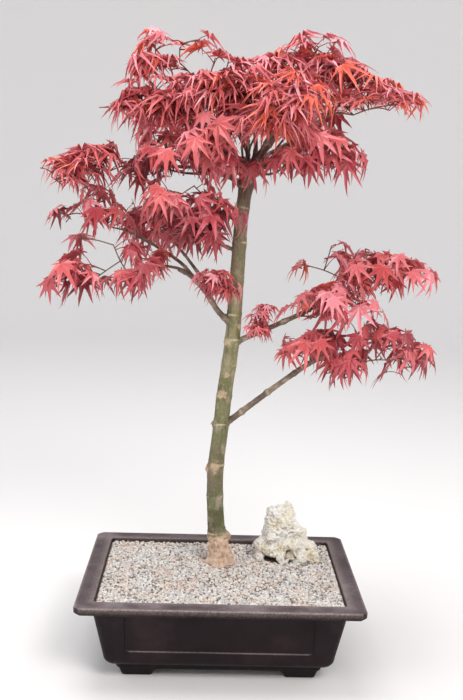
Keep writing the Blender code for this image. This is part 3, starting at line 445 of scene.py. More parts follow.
def tube(soup, points, radii, sides):
    """Round tube through points with a radius at each."""
    turn = 2 * pi / sides
    soup.loft([[p + (u * cos(k * turn) + v * sin(k * turn)) * r for k in range(sides)]
               for p, r, (u, v, _) in zip(points, radii, frames(points))])


def blend(a, b, t):
    return a + (b - a) * t


def clamp(t):
    return min(max(t, 0.0), 1.0)


def step(low, high, value):
    """Smooth step from 0 at low to 1 at high."""
    t = clamp((value - low) / (high - low))
    return t * t * (3 - 2 * t)


def bell(value, power=2):
    """1 at zero, falling smoothly to 0 on both sides."""
    return exp(-value ** power)


# ---------------------------------------------------------------- finishes


def linear(rgb):
    """Linear colour of an sRGB one given as 0 to 255."""
    shares = [value / 255.0 for value in rgb]
    return (*[c / 12.92 if c <= 0.04045 else ((c + 0.055) / 1.055) ** 2.4 for c in shares], 1.0)


class Finish:
    """A Principled material, with short ways to add its patterns."""

    def __init__(self, name, rgb, rough, **gloss):
        self.material = bpy.data.materials.new(name)
        self.material.use_nodes = True
        self.material.diffuse_color = linear(rgb)
        self.tree = self.material.node_tree
        self.shader = self.tree.nodes["Principled BSDF"]
        gloss = {key.replace("_", " "): value for key, value in gloss.items()}
        self.put(self.shader, {"Base Color": rgb, "Roughness": rough, **gloss})
        self.place = self.node("TexCoord", "Object", {})

    def put(self, node, inputs):
        """Set inputs to numbers or sRGB colours, or link them to outputs of other nodes."""
        for key, value in inputs.items():
            named = [s for s in node.inputs if s.enabled and s.name == key]
            socket = named[0] if named else node.inputs[key]
            if isinstance(value, bpy.types.NodeSocket):
                self.tree.links.new(value, socket)
            else:
                socket.default_value = linear(value) if socket.type == "RGBA" else value

    def wire(self, node, output, inputs):
        """Set a node's inputs and give its output."""
        self.put(node, inputs)
        return [s for s in node.outputs if s.enabled and s.name == output][0]

    def node(self, kind, output, inputs):
        return self.wire(self.tree.nodes.new("ShaderNode" + kind), output, inputs)

    def stretched(self, scale):
        inputs = {"Vector": self.place, "Scale": scale}
        return self.node("Mapping", "Vector", inputs) if scale else self.place

    def noise(self, scale, detail, rough=0.55, stretch=None):
        return self.node("TexNoise", "Fac", {"Scale": scale, "Detail": detail, "Roughness": rough,
                                             "Vector": self.stretched(stretch)})

    def cells(self, scale, stretch=None):
        inputs = {"Scale": scale, "Vector": self.stretched(stretch)}
        return self.node("TexVoronoi", "Distance", inputs)

    def attribute(self, name):
        made = self.tree.nodes.new("ShaderNodeAttribute")
        made.attribute_name = name
        return made.outputs["Fac"]

    def upward(self, vector):
        return self.node("SeparateXYZ", "Z", {"Vector": vector})

    def facing_up(self):
        """How far the surface faces up, from 0 to 1."""
        return self.span(self.upward(self.node("NewGeometry", "Normal", {})), 0.2, 0.8)

    def ramp(self, value, stops):
        """Colour ramp of (position, sRGB) stops."""
        made = self.node("ValToRGB", "Color", {"Fac": value})
        band = made.node.color_ramp
        while len(band.elements) < len(stops):
            band.elements.new(0.5)
        for element, (spot, rgb) in zip(band.elements, stops):
            element.position = spot
            element.color = linear(rgb)
        return made

    def span(self, value, low, high, to_low=0.0, to_high=1.0):
        """Map a value's range onto another, held at its ends."""
        inputs = {"Value": value, "From Min": low, "From Max": high, "To Min": to_low, "To Max": to_high}
        return self.node("MapRange", "Result", inputs)

    def maths(self, kind, *values):
        made = self.tree.nodes.new("ShaderNodeMath")
        made.operation = kind
        return self.wire(made, "Value", dict(enumerate(values)))

    def mix(self, share, a, b, kind="MIX"):
        made = self.tree.nodes.new("ShaderNodeMix")
        made.data_type, made.blend_type = "RGBA", kind
        return self.wire(made, "Result", {"Factor": share, "A": a, "B": b})

    def done(self, tone, patches, rough, bumps):
        """Lay patches of colour on a tone, join up roughness and relief, and give the material.

        A patch is a value, its range, the shares of colour at the range's ends, the colour and how
        it mixes. Roughness is a value and what it maps onto. A bump is a value, its height in metres
        and its strength.
        """
        for value, low, high, at_low, at_high, rgb, *kind in patches:
            tone = self.mix(self.span(value, low, high, at_low, at_high), tone, rgb, *kind)
        look = {"Base Color": tone, "Roughness": self.span(rough[0], 0.3, 0.7, *rough[1:])}
        for value, distance, strength in bumps:
            inputs = {"Strength": strength, "Distance": distance, "Height": value}
            if "Normal" in look:
                inputs["Normal"] = look["Normal"]
            look["Normal"] = self.node("Bump", "Normal", inputs)
        self.put(self.shader, look)
        return self.material


def plastic_finish():
    """Dark brown moulded plastic, dusty and painted lighter on top as if lit from above, its edges
    scuffed pale and painted with highlight lines.
    """
    made = Finish("pot_plastic_look", (36, 20, 24), 0.6, Specular_IOR_Level=0.2)
    cloud = made.noise(14.0, 5.0, 0.6)
    fine = made.noise(420.0, 3.0, 0.6)
    walls = made.ramp(cloud, [(0.30, (20, 10, 14)), (0.52, (29, 16, 20)), (0.72, (48, 34, 38))])
    dust_and_top_light = made.ramp(cloud, [(0.32, (70, 57, 60)), (0.50, (98, 85, 88)), (0.68, (146, 134, 136))])
    # Upward faces take a paler tone: part real dust, part painted light from above.
    tone = made.mix(made.facing_up(), walls, dust_and_top_light)
    # Pale scuffs, and painted highlight lines along the lip's edges and the panels' ledges.
    scuffs_and_highlight = made.maths("MULTIPLY", made.span(fine, 0.40, 0.62, 0.62, 1.0), made.attribute("worn"))
    tone = made.mix(made.span(scuffs_and_highlight, 0.05, 0.9, 0.0, 0.9), tone, (160, 145, 140))
    specks = made.ramp(fine, [(0.35, (170, 170, 170)), (0.70, (255, 255, 255))])
    return made.done(made.mix(0.35, tone, specks, "MULTIPLY"), [], (made.noise(30.0, 5.0), 0.48, 0.7),
                     [(fine, 0.00022, 0.5), (made.noise(60.0, 3.0), 0.0004, 0.35)])


def grain_finish(name, rgb, kind, shades=(), **gloss):
    """One base colour, or shades by its grain, with fine relief and uneven gloss."""
    rough, pattern, span, relief = GRAINS[kind]
    made = Finish(name + "_look", rgb, rough, **gloss)
    grain = made.noise(*pattern)
    return made.done(made.ramp(grain, shades) if shades else rgb, [], (grain, *span), [(grain, *relief)])


def rock_finish():
    """Porous cream stone, yellower and darker towards its foot, ochre in its hollows and dark in its
    deepest pits, part stain and part painted shade.
    """
    made = Finish("rock_stone_look", (246, 241, 230), 0.9)
    hollow, fine = made.attribute("hollow"), made.noise(420.0, 5.0, 0.72)
    base = made.ramp(made.noise(46.0, 6.0, 0.66), [
        (0.30, (226, 206, 172)), (0.40, (248, 240, 220)), (0.56, (255, 253, 248)),
        (0.72, (255, 250, 238)), (0.80, (246, 234, 206))])
    return made.done(base, [
        # Darker and yellower towards the rock's foot.
        (made.upward(made.place), 0.108, 0.150, 0.22, 0.0, (222, 204, 174), "MULTIPLY"),
        # Hollows and pits: ochre, then dark, part stain and part painted shade.
        (hollow, 0.30, 0.8, 0.0, 0.45, (208, 188, 156)),
        (fine, 0.58, 0.68, 0.0, 0.32, (198, 180, 150)),
        (hollow, 0.72, 1.0, 0.0, 0.85, (104, 90, 76)),
    ], (fine, 0.78, 1.0), [(fine, 0.0018, 0.9), (made.cells(190.0), 0.0020, 0.7)])


def trunk_finish():
    """Olive bark over a tan graft base, with pale rings, streaks and lichen specks."""
    made = Finish("trunk_bark_look", (128, 122, 90), 0.8)
    blotch = made.noise(38.0, 5.0, 0.6)
    streak = made.noise(150.0, 5.0, 0.6, (1.0, 1.0, 0.16))
    grain = made.noise(520.0, 4.0, 0.65, (1.0, 1.0, 0.5))
    moss = made.noise(64.0, 4.0, 0.6, (1.0, 1.0, 0.4))
    crust = made.noise(150.0, 6.0, 0.72)
    wavy = made.maths("MULTIPLY_ADD", made.noise(70.0, 3.0), 0.010, made.upward(made.place))
    low, top = 0.10, 0.66
    stops = [((z * MM - low) / (top - low), rgb) for z, rgb in BARK]
    cork = made.ramp(crust, [(0.34, (166, 130, 108)), (0.46, (222, 184, 158)),
                             (0.56, (244, 212, 190)), (0.66, (254, 238, 222))])
    return made.done(made.ramp(made.span(wavy, low, top), stops), [
        (blotch, 0.50, 0.62, 0.0, 0.68, (190, 178, 152)),
        (moss, 0.48, 0.60, 0.0, 0.62, (98, 108, 58)),
        (streak, 0.52, 0.66, 0.0, 0.66, (80, 64, 58)),
        (wavy, 0.151, 0.156, 0.85, 0.0, cork),
        (made.cells(210.0, (1.0, 1.0, 1.9)), 0.02, 0.15, 0.65, 0.0, (216, 202, 172)),
        (made.attribute("pale"), 0.25, 0.9, 0.0, 0.8, (220, 206, 168)),
        (made.attribute("scar"), 0.3, 0.8, 0.0, 0.66, (216, 186, 152)),
        (grain, 0.3, 0.7, 0.0, 0.35, (88, 76, 66), "MULTIPLY"),
    ], (blotch, 0.68, 0.92), [(streak, 0.0012, 0.8), (crust, 0.0012, 0.7), (grain, 0.0005, 0.6)])


def bough_finish():
    """Brown-purple bark going olive, with pale lenticels."""
    made = Finish("bough_bark_look", (96, 74, 62), 0.72)
    blotch = made.noise(60.0, 5.0, 0.6)
    grain = made.noise(600.0, 4.0, 0.65)
    low = made.ramp(blotch, [(0.32, (84, 68, 62)), (0.46, (118, 100, 88)), (0.58, (150, 134, 114)),
                             (0.72, (198, 186, 162))])
    top = made.ramp(blotch, [(0.32, (86, 60, 60)), (0.48, (114, 84, 80)), (0.60, (134, 108, 98)),
                             (0.74, (162, 140, 124))])
    return made.done(low, [
        (made.upward(made.place), 0.46, 0.62, 0.0, 1.0, top),
        (made.attribute("pale"), 0.3, 0.9, 0.0, 0.6, (206, 190, 160)),
        (made.cells(260.0), 0.0, 0.16, 0.5, 0.0, (186, 170, 148)),
        (grain, 0.3, 0.7, 0.0, 0.24, (64, 50, 44), "MULTIPLY"),
    ], (blotch, 0.58, 0.85), [(grain, 0.0005, 0.7)])


# ---------------------------------------------------------------- pot


def side_stops(half):
    """Places along one wall: close together at the panel's ends, wide apart between."""
    edge = [half - PANEL_CORNER - 1.0 + k for k in range(int(PANEL_CORNER) + 2)]
    right = [edge[0] * k / 6 for k in range(1, 6)] + edge + [half + 0.4]
    return [-s for s in reversed(right)] + [0.0] + right


def plan_ring(inset, z, corner=BODY_CORNER, arc=1.0, recess=None):
    """Outline round the pot at one height; arc 0 makes the corners flat chamfers."""
    ring = []
    for k in range(4):
        out = Vector((round(cos(pi / 2 * k)), round(sin(pi / 2 * k)), 0.0))
        along = Vector((-out.y, out.x, 0.0))
        half, run = RIM_HALF[::-1 if k % 2 else 1]
        panel = PANEL_HALF[1 - k % 2]
        for s in side_stops(panel):
            deep = recess(s, panel, z) if recess else 0.0
            ring.append(out * (half - inset - deep) + along * s + UP * z)
        centre = out * (half - inset - corner) + along * (run - inset - corner)
        for s in range(CORNER_STEPS + 1):
            a, t = pi / 2 * s / CORNER_STEPS, s / CORNER_STEPS
            flat_point = out * (1 - t) + along * t
            spot = flat_point.lerp(out * cos(a) + along * sin(a), arc)
            ring.append(centre + spot * corner + UP * z)
    return ring


def panel_recess(s, half, z):
    """Depth of the sunk panel at one place on a wall."""
    middle, tall = (PANEL_LOW_Z + PANEL_HIGH_Z) / 2, (PANEL_HIGH_Z - PANEL_LOW_Z) / 2
    qx = abs(s) - (half - PANEL_CORNER)
    qz = abs(z - middle) - (tall - PANEL_CORNER)
    inside = PANEL_CORNER - hypot(max(qx, 0.0), max(qz, 0.0)) - min(max(qx, qz), 0.0)
    return PANEL_DEPTH * clamp(inside / PANEL_EDGE)


def wall_inset(z):
    t = (z - WALL_LOW_Z) / (LIP_LOW - WALL_LOW_Z)
    return blend(WALL_LOW_INSET, WALL_TOP_INSET, t)


def pot_wear_and_highlight(p):
    """How pale one place of the pot is painted: a little wear all over the lip, and lines along the lip's
    edges and the panels' ledges that are part wear and part painted highlight.
    """
    insets = [half - abs(v) for half, v in zip(RIM_HALF, p)]
    if p.z > LIP_LOW - 0.5:
        edge = bell((min(insets) - 0.5) / 1.6) * step(RIM_TOP - 3.4, RIM_TOP - 0.6, p.z)
        inner = bell((min(insets) - WALL_TOP_INSET - WALL + 1.5) / 1.4) * 0.6
        return clamp(0.08 + 0.8 * edge + inner)
    side = 0 if insets[1] < insets[0] else 1
    within = abs(p[side]) < PANEL_HALF[side] - PANEL_CORNER
    return 0.36 * bell((p.z - PANEL_LOW_Z - 0.5) / 0.7) if within else 0.0


def round_turn(inset, z, radius, start, end, steps=4):
    """Stations of one rounded edge: centre, radius and the angles it runs between."""
    turns = [radians(blend(start, end, k / steps)) for k in range(steps + 1)]
    return [(inset - radius * cos(a), z + radius * sin(a)) for a in turns]


def build_pot():
    """Open box with a broad lip, sunk panels and a waisted base, as one closed skin."""
    inner = WALL_TOP_INSET + WALL
    inside = [
        (BASE_INSET + 12.0, BASE_Z + FLOOR), (BASE_INSET + 2.0, BASE_Z + FLOOR),
        (WALL_LOW_INSET + WALL + 0.8, WALL_LOW_Z), (inner + 0.3, LIP_LOW), (inner - 0.1, RIM_TOP - 4.0),
        *round_turn(inner - 2.4, RIM_TOP - 2.2, 2.2, 180.0, 90.0)]
    lip = [*round_turn(1.9, RIM_TOP - 2.0, 1.9, 90.0, 0.0, 5),
           *round_turn(1.8, LIP_LOW + 1.5, 1.5, 0.0, -90.0)]
    under = [(WALL_TOP_INSET - 2.2, LIP_LOW), (WALL_TOP_INSET - 0.4, LIP_LOW - 0.6)]
    heights = [LIP_LOW - 2.0, *[PANEL_HIGH_Z + 0.4 - k for k in range(9)], 80.0, 70.0, 60.0,
               *[PANEL_LOW_Z + 8.6 - k for k in range(10)], WALL_LOW_Z + 4.0]
    rings = [plan_ring(*spot, BODY_CORNER - 2.0) for spot in inside]
    rings += [plan_ring(*spot, LIP_CORNER, 0.3) for spot in ((12.0, RIM_TOP), (4.0, RIM_TOP - 0.1))]
    rings += [plan_ring(*spot, LIP_CORNER, 0.15) for spot in lip]
    rings += [plan_ring(*spot) for spot in under]
    rings += [plan_ring(wall_inset(z), z, recess=panel_recess) for z in heights]
    rings += [plan_ring(*spot) for spot in POT_FOOT]
    soup = Soup()
    soup.loft(rings)
    # Wear and painted highlight at each point of the pot's skin.
    worn = [pot_wear_and_highlight(p) for p in soup.points]
    for sides in ((1, 1), (1, -1), (-1, 1), (-1, -1)):
        build_foot(soup, *sides)
    worn += [0.0] * (len(soup.points) - len(worn))
    piece("pot_body", soup, plastic_finish(), "pot_plastic", ["pot"], 38.0, worn=worn)


def build_foot(soup, sx, sy):
    """Bracket foot: square toe that sweeps out and in to meet the base."""
    rings = []
    for z in FOOT_LEVELS:
        t = z / FOOT_LEVELS[-1]
        rounded = 0.7 * (1 - clamp(z / 1.4)) ** 2
        lean, sweep = FOOT_FLARE * t, FOOT_SLOPE * t ** 2.2
        box = [(near - sweep + rounded, far + lean - rounded) for near, far in zip(FOOT_IN, FOOT_OUT)]
        ring = []
        for k, corner in enumerate(((1, 1), (-1, 1), (-1, -1), (1, -1))):
            for s in range(5):
                a = radians(90 * k + 90 * s / 4)
                x, y = [(low + high) / 2 + c * ((high - low) / 2 - FOOT_CORNER) + FOOT_CORNER * turn
                        for (low, high), c, turn in zip(box, corner, (cos(a), sin(a)))]
                ring.append(Vector((sx * x, sy * y, z)))
        rings.append(ring if sx * sy > 0 else ring[::-1])
    soup.loft(rings)


# ---------------------------------------------------------------- grit


def node_tree(*names):
    """Solids of the frame as one tree, in the pot's millimetres."""
    soup = Soup()
    for name in names:
        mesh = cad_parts[name].data
        soup.add([(v.co - ORIGIN) / MM for v in mesh.vertices], [f.vertices for f in mesh.polygons])
    return BVHTree.FromPolygons(soup.points, soup.faces)


GRIT_TREE = node_tree("grit")


def grit_height(x, y):
    """Level of the grit's uneven top, read off its solid."""
    hit = GRIT_TREE.ray_cast(Vector((x, y, RIM_TOP + 5.0)), DOWN)[0]
    from_wall = min(half - abs(v) for half, v in zip(grit_edge(0.0), (x, y)))
    return (hit.z if hit else GRIT_TOP) - GRIT_SINK + GRIT_BANK * bell(from_wall / GRIT_BANK_WIDE)


def grit_edge(spare):
    """Half sizes of the space inside the walls at the grit's top."""
    return [half - WALL_TOP_INSET - WALL - spare for half in RIM_HALF]


def build_grit_bed():
    """Uneven bed under the pebbles, with its sides inside the pot's walls, coloured dark as painted shade
    in the gaps between them.
    """
    half, (across, deep) = grit_edge(0.6), BED_CELLS
    points = []
    for j in range(deep + 1):
        for i in range(across + 1):
            x, y = half[0] * (2 * i / across - 1), half[1] * (2 * j / deep - 1)
            grain = BED_GRAIN * noise.noise(Vector((x * 0.5, y * 0.5, 8.0)))
            points.append(Vector((x, y, grit_height(x, y) - BED_SINK + grain)))
    row = across + 1
    faces = [(a, a + 1, a + row + 1, a + row)
             for j in range(deep) for a in range(j * row, j * row + across)]
    rim = [*range(row), *range(row + across, row * (deep + 1), row),
           *range(row * deep + across - 1, row * deep - 1, -1), *range(row * (deep - 1), 0, -row)]
    first, count = len(points), len(rim)
    points += [Vector((points[i].x * 0.97, points[i].y * 0.97, GRIT_TOP - BED_DEEP)) for i in rim]
    for k in range(count):
        n = (k + 1) % count
        faces.append((rim[n], rim[k], first + k, first + n))
    faces.append(range(first, first + count)[::-1])
    soup = Soup()
    soup.add(points, faces)
    finish = grain_finish("grit_bed", (112, 100, 90), "bed", BED_PAINTED_SHADE)
    piece("grit_bed", soup, finish, "grit_stone", ["grit"], 45.0)


def icosahedron():
    """Points and faces of a unit icosahedron."""
    g = (1 + sqrt(5)) / 2
    points = [(-1, g, 0), (1, g, 0), (-1, -g, 0), (1, -g, 0), (0, -1, g), (0, 1, g),
              (0, -1, -g), (0, 1, -g), (g, 0, -1), (g, 0, 1), (-g, 0, -1), (-g, 0, 1)]
    faces = [(0, 11, 5), (0, 5, 1), (0, 1, 7), (0, 7, 10), (0, 10, 11), (1, 5, 9), (5, 11, 4),
             (11, 10, 2), (10, 7, 6), (7, 1, 8), (3, 9, 4), (3, 4, 2), (3, 2, 6), (3, 6, 8),
             (3, 8, 9), (4, 9, 5), (2, 4, 11), (6, 2, 10), (8, 6, 7), (9, 8, 1)]
    unit = hypot(1.0, g)
    return [tuple(c / unit for c in p) for p in points], faces


def rock_footprint(x, y):
    """Below one under the rock."""
    dx, dy = x - ROCK_CENTRE[0], y - ROCK_CENTRE[1]
    c, s = cos(ROCK_TURN), sin(ROCK_TURN)
    return hypot((dx * c + dy * s) / ROCK_HALF[0], (dy * c - dx * s) / ROCK_HALF[1])


def build_pebbles():
    """Two loose layers of crushed stone, each colour joined into one piece."""
    rng = random.Random(PEBBLE_SEED)
    shape, faces = icosahedron()
    half = grit_edge(1.2)
    soups = {name: Soup() for name in GRITS}
    cells = [(layer, i, j) for layer in range(2) for i in range(int(2 * half[0] / GRIT_STEP))
             for j in range(int(2 * half[1] / GRIT_STEP))]
    for layer, i, j in cells:
        x = -half[0] + (i + rng.random()) * GRIT_STEP
        y = -half[1] + (j + rng.random()) * GRIT_STEP
        size = rng.uniform(*PEBBLE_HALF) * (1.0 if rng.random() < PEBBLE_USUAL else PEBBLE_BIG)
        sizes = [size, size * rng.uniform(*PEBBLE_WIDE), size * rng.uniform(*PEBBLE_TALL)]
        turn = Matrix.Rotation(rng.uniform(0, 6.28), 3, "Z")
        turn = turn @ Matrix.Rotation(rng.uniform(-0.9, 0.9), 3, "X")
        shakes = [rng.uniform(*PEBBLE_SHAKE) for _ in shape]
        patch = noise.noise(Vector((x * PATCH_SCALE, y * PATCH_SCALE, 5.0)))
        odds = [max(share * (1.0 + WARMTH * patch * warm), 0.0) for _, share, warm in GRITS.values()]
        name = rng.choices(list(GRITS), odds)[0]
        if layer and rng.random() < UPPER_GAPS:
            continue
        if rock_footprint(x, y) < ROCK_CLEAR or hypot(x, y - TRUNK_LINE[0][1]) < TRUNK_CLEAR:
            continue
        x = min(max(x, size - half[0]), half[0] - size)
        y = min(max(y, size - half[1]), half[1] - size)
        lift = PEBBLE_LIFTS[layer] + rng.uniform(*PEBBLE_LOOSE)
        place = Vector((x, y, grit_height(x, y) + lift))
        soups[name].add([place + turn @ Vector([p[k] * sizes[k] * s for k in range(3)])
                         for p, s in zip(shape, shakes)], faces)
    for name, soup in soups.items():
        finish = grain_finish("grit_" + name, GRITS[name][0], "pebble")
        piece("pebbles_" + name, soup, finish, "grit_stone", ["grit"], 0.0)


# ---------------------------------------------------------------- rock


def rock_lumps():
    """The rock's lumps run together into one skin of even cells."""
    shape = bmesh.new()
    for x, y, z, *half in ROCK_LUMPS:
        place = Matrix.Translation((x, y, z)) @ Matrix.Diagonal((*half, 1.0))
        bmesh.ops.create_icosphere(shape, subdivisions=3, radius=1.0, matrix=place)
    mesh = bpy.data.meshes.new("rock_lumps")
    shape.to_mesh(mesh)
    shape.free()
    lumps = link_object("rock_lumps", mesh)
    even = lumps.modifiers.new("even", "REMESH")
    even.mode = "VOXEL"
    even.voxel_size = ROCK_VOXEL
    shaped = bmesh.new()
    shaped.from_object(lumps, bpy.context.evaluated_depsgraph_get())
    bpy.data.objects.remove(lumps)
    return shaped


def rock_relief(p):
    """How far one place of the rock's skin stands out, and how deep in a hollow it lies."""
    crag = ROCK_CRAG * noise.fractal(p * 0.055, 0.8, 2.1, 4)
    for size, middle, scale, shift in ROCK_RIDGES:
        crag += size * (middle - abs(noise.noise(p * scale + Vector(shift))))
    crag += ROCK_GRAIN * noise.noise(p * 0.8)
    deep = 0.0
    for x, y, z, radius, depth in ROCK_PITS:
        d = (p - Vector((x, y, z))).length / radius
        if d < 1.8:
            deep += depth * bell(d * 1.25)
    holes, small = [size * step(low, 0.5, noise.noise(p * scale + Vector(shift)))
                    for size, low, scale, shift in ROCK_HOLES]
    deep += holes + small
    # The hollow value also counts the dips between crags; the finish darkens by it as stain and painted
    # shade.
    return crag - deep, clamp(deep / 6.5 + 0.22 * clamp(-crag / 3.0))


def build_rock():
    """Craggy porous rock with a humped top, hollows at its foot and many pits."""
    shape = rock_lumps()
    hollow_layer = shape.verts.layers.float.new("hollow")
    shape.normal_update()
    moved = [(v, rock_relief(v.co), v.normal.copy()) for v in shape.verts]
    for vert, (out, hollow), normal in moved:
        vert.co = vert.co + normal * out
        vert[hollow_layer] = hollow
    everything = shape.verts[:] + shape.edges[:] + shape.faces[:]
    cut = bmesh.ops.bisect_plane(shape, geom=everything, plane_co=Vector((0.0, 0.0, ROCK_SUNK)),
                                 plane_no=DOWN, clear_outer=True)
    rim = [e for e in cut["geom_cut"] if isinstance(e, bmesh.types.BMEdge)]
    bmesh.ops.holes_fill(shape, edges=rim)
    shape.verts.index_update()
    soup = Soup()
    lift = Vector((*ROCK_CENTRE, GRIT_TOP))
    soup.add([lift + v.co for v in shape.verts], [[v.index for v in f.verts] for f in shape.faces])
    hollows = [v[hollow_layer] for v in shape.verts]
    shape.free()
    piece("rock_body", soup, rock_finish(), "rock_stone", ["rock"], hollow=hollows)


# ---------------------------------------------------------------- trunk and boughs


def trunk_radius(z):
    low, high = TRUNK_LINE[0][2], TRUNK_LINE[-1][2]
    r = blend(TRUNK_RADIUS, TRUNK_TIP_RADIUS, (z - low) / (high - low))
    r += FLARE * exp(-(z - low) / FLARE_FALL)
    return r + FORK_SWELL * bell((z - high) / FORK_SWELL_HALF)


def build_trunk():
    """Trunk with graft base, node rings, scars, stubs and bark relief."""
    low, high = TRUNK_LINE[0][2], TRUNK_LINE[-1][2]
    line = line_points(TRUNK_LINE, 4 * TRUNK_LEVELS)
    xs, ys, heights = [[p[i] for p in line] for i in range(3)]
    pale, scar, rings = [], [], []
    for level in range(TRUNK_LEVELS + TRUNK_DOME):
        z = blend(low, high, min(level / (TRUNK_LEVELS - 1), 1.0))
        x, y = float(np.interp(z, heights, xs)), float(np.interp(z, heights, ys))
        up = max(0, level - TRUNK_LEVELS + 1) / TRUNK_DOME
        shrink = cos(up * pi / 2 * DOME_TURN)
        flare = exp(-(z - low) / ROOT_FALL)
        rough_base = 1.0 - step(GRAFT_TOP - 7.0, GRAFT_TOP + 1.0, z)
        ring = []
        for k in range(TRUNK_SIDES):
            a = 2 * pi * k / TRUNK_SIDES
            spot = Vector((cos(a), sin(a), 0.0))
            here = Vector((spot.x * BARK_ROUND, spot.y * BARK_ROUND, z))
            r = trunk_radius(z) * (1.0 + ROOT_RIDGE * flare * cos(4 * a + 0.6))
            bark = 0.32 * noise.fractal(Vector((here.x, here.y, here.z * 0.22)) * 0.42, 0.7, 2.0, 4)
            bark += 0.16 * noise.noise(here * 0.9)
            cork = 1.5 * noise.fractal(Vector((here.x, here.y, here.z * 0.6)) * 0.16, 0.8, 2.1, 4)
            r += blend(bark, cork + bark, rough_base) + GRAFT_SWELL * rough_base * step(*GRAFT_RISE, z)
            lenticel = noise.noise(Vector((here.x * 0.55, here.y * 0.55, here.z * 0.42)) + spot * 9)
            bead = step(*BEADS, lenticel) * (1.0 - rough_base)
            light = BEAD_PALE * bead
            r += BEAD_HIGH * bead
            for number, node_z in enumerate(TRUNK_RINGS):
                d = z - node_z - (RING_SWAY[0] * sin(a + number) + RING_SWAY[1] * sin(3 * a + 2 * number))
                mark = bell(d / RING_HALF)
                r += RING_HIGH * mark - RING_DIP * bell((d - 3.0) / 1.2)
                r += RING_SWELL * bell(d / RING_SWELL_HALF)
                light = max(light, mark * (0.5 + 0.5 * sin(2.0 * a + 1.7 * number)))
            tan = 0.0
            for height, side, reach, size in KNOBS:
                gap = ((a - radians(side) + pi) % (2 * pi) - pi) * r
                d = hypot(gap, z - height) / size
                d *= 1.0 + 0.7 * noise.noise(here * 0.30 + Vector((height, 0.0, 0.0)))
                if d < 1.7:
                    lump = 1.0 + 0.35 * noise.noise(here * 0.45)
                    r += reach * bell(d * 1.25) * lump
                    tan = max(tan, bell(d * 1.2, 4))
            pale.append(clamp(light))
            scar.append(clamp(tan))
            ring.append(Vector((x, y, z + up * DOME_TALL)) + spot * r * shrink)
        rings.append(ring)
    soup = Soup()
    soup.loft(rings)
    piece("trunk_bark", soup, trunk_finish(), "trunk_bark", ["trunk"], pale=pale, scar=scar)


def bough_line(name):
    """The limb's points as the solids have them."""
    points = BOUGHS[name].points
    return line_points(points, 2 * len(points) - 1)


def build_bough(number, name, finish):
    """One tapering limb with a collar at its root, node rings and bark relief."""
    points, root, tip = BOUGHS[name]
    coarse = bough_line(name)
    length = sum((b - a).length for a, b in zip(coarse, coarse[1:]))
    count = max(24, int(length / BOUGH_STEP))
    sides = 20 if root > THICK_ROOT else 14
    line = line_points(points, count)
    first_ring = FIRST_KNOT + 5.0 * (number % 3)
    rings, pale = [], []
    for i, (p, (u, v, _)) in enumerate(zip(line, frames(line))):
        t = i / (count - 1)
        run = t * length
        r = BOUGH_SLIM * blend(root, tip, t ** 0.8)
        r += COLLAR * root * bell(run / (COLLAR_LONG * root))
        knot = bell((abs((run - first_ring) % KNOT_EVERY - KNOT_EVERY / 2) - KNOT_EVERY / 2) / KNOT_HALF)
        r += KNOT_HIGH * r * knot
        if t > 0.985:
            r *= 0.92
        ring = []
        for k in range(sides):
            a = 2 * pi * k / sides
            out = u * cos(a) + v * sin(a)
            bump = 0.08 * r * noise.noise((p + out * r) * 0.22)
            bump += 0.08 * r * noise.noise((p + out * r) * 0.8 + Vector((4, 4, 4)))
            ring.append(p + out * (r + bump))
            pale.append(knot * (0.6 + 0.4 * sin(a + i)))
        rings.append(ring)
    soup = Soup()
    soup.loft(rings)
    piece("bark_" + name, soup, finish, "bough_bark", ["bough_" + name], pale=pale)


# ---------------------------------------------------------------- growth of the masses


def depth_in(space, p):
    """Below one inside a rounded box that starts with its centre and half sizes, growing outward."""
    centre, half = space[:2]
    return sum((abs(p[i] - centre[i]) / half[i]) ** SPACE_POWER for i in range(3))


def in_space(mass, p):
    """Inside the mass's own space, and deeper in it than in any other."""
    own = depth_in(mass, p)
    return own <= 1.0 and all(own + SPACE_MARGIN < depth_in(other, p)
                              for other in MASSES if other is not mass)


def in_reach(mass, p):
    """Inside the crown's outline: the mass's own space or any other's, and the solids' box."""
    if any(not REACH_LOW[i] < p[i] - side * REACH_MARGIN[i] < REACH_HIGH[i]
           for i in range(3) for side in (-1, 1)):
        return False
    return (depth_in(mass, p) < 1.0 or any(depth_in(other, p) < 0.95 for other in MASSES)
            or any(depth_in(bridge, p) < 1.0 for bridge in BRIDGES))


def in_sky(p):
    """Whether the camera sees a point in one of the gaps where sky shows through the crown."""
    away = (SKY_PLANE - CAMERA_PLACE.y) / (p.y - CAMERA_PLACE.y)
    x = CAMERA_PLACE.x + (p.x - CAMERA_PLACE.x) * away
    z = CAMERA_PLACE.z + (p.z - CAMERA_PLACE.z) * away
    return any(((x - cx) / hx) ** 2 + ((z - cz) / hz) ** 2 < 1.0 for cx, cz, hx, hz in SKY)


def shoot_targets(mass, rng):
    """Shoot ends inside the mass: its top, its outer end, then the best spread of random tries."""
    centre, half, count, scale = mass[:4]
    reach = [max(h - TARGET_INSET * scale, h * 0.42) for h in half]
    outward = Vector((centre[0], centre[1] - TRUNK_LINE[-1][1], 0.0)).normalized()
    top = Vector(centre) + UP * (reach[2] + 10.0)
    tip = Vector([centre[i] + outward[i] * reach[i] for i in range(3)])
    chosen = [p for p in (top, tip) if in_space(mass, p)][:count]
    for _ in range(count - len(chosen)):
        best, best_gap = None, -1.0
        for _ in range(TARGET_TRIES):
            d = Vector([rng.uniform(-1.0, 1.0) for _ in range(3)])
            if d.length > 1.0:
                continue
            p = Vector([centre[i] + d[i] * reach[i] for i in range(3)])
            p.z += TARGET_LIFT
            if not in_space(mass, p):
                continue
            gap = min([(p - q).length for q in chosen], default=60.0)
            if gap > best_gap:
                best, best_gap = p, gap
        if best is not None:
            chosen.append(best)
    return chosen


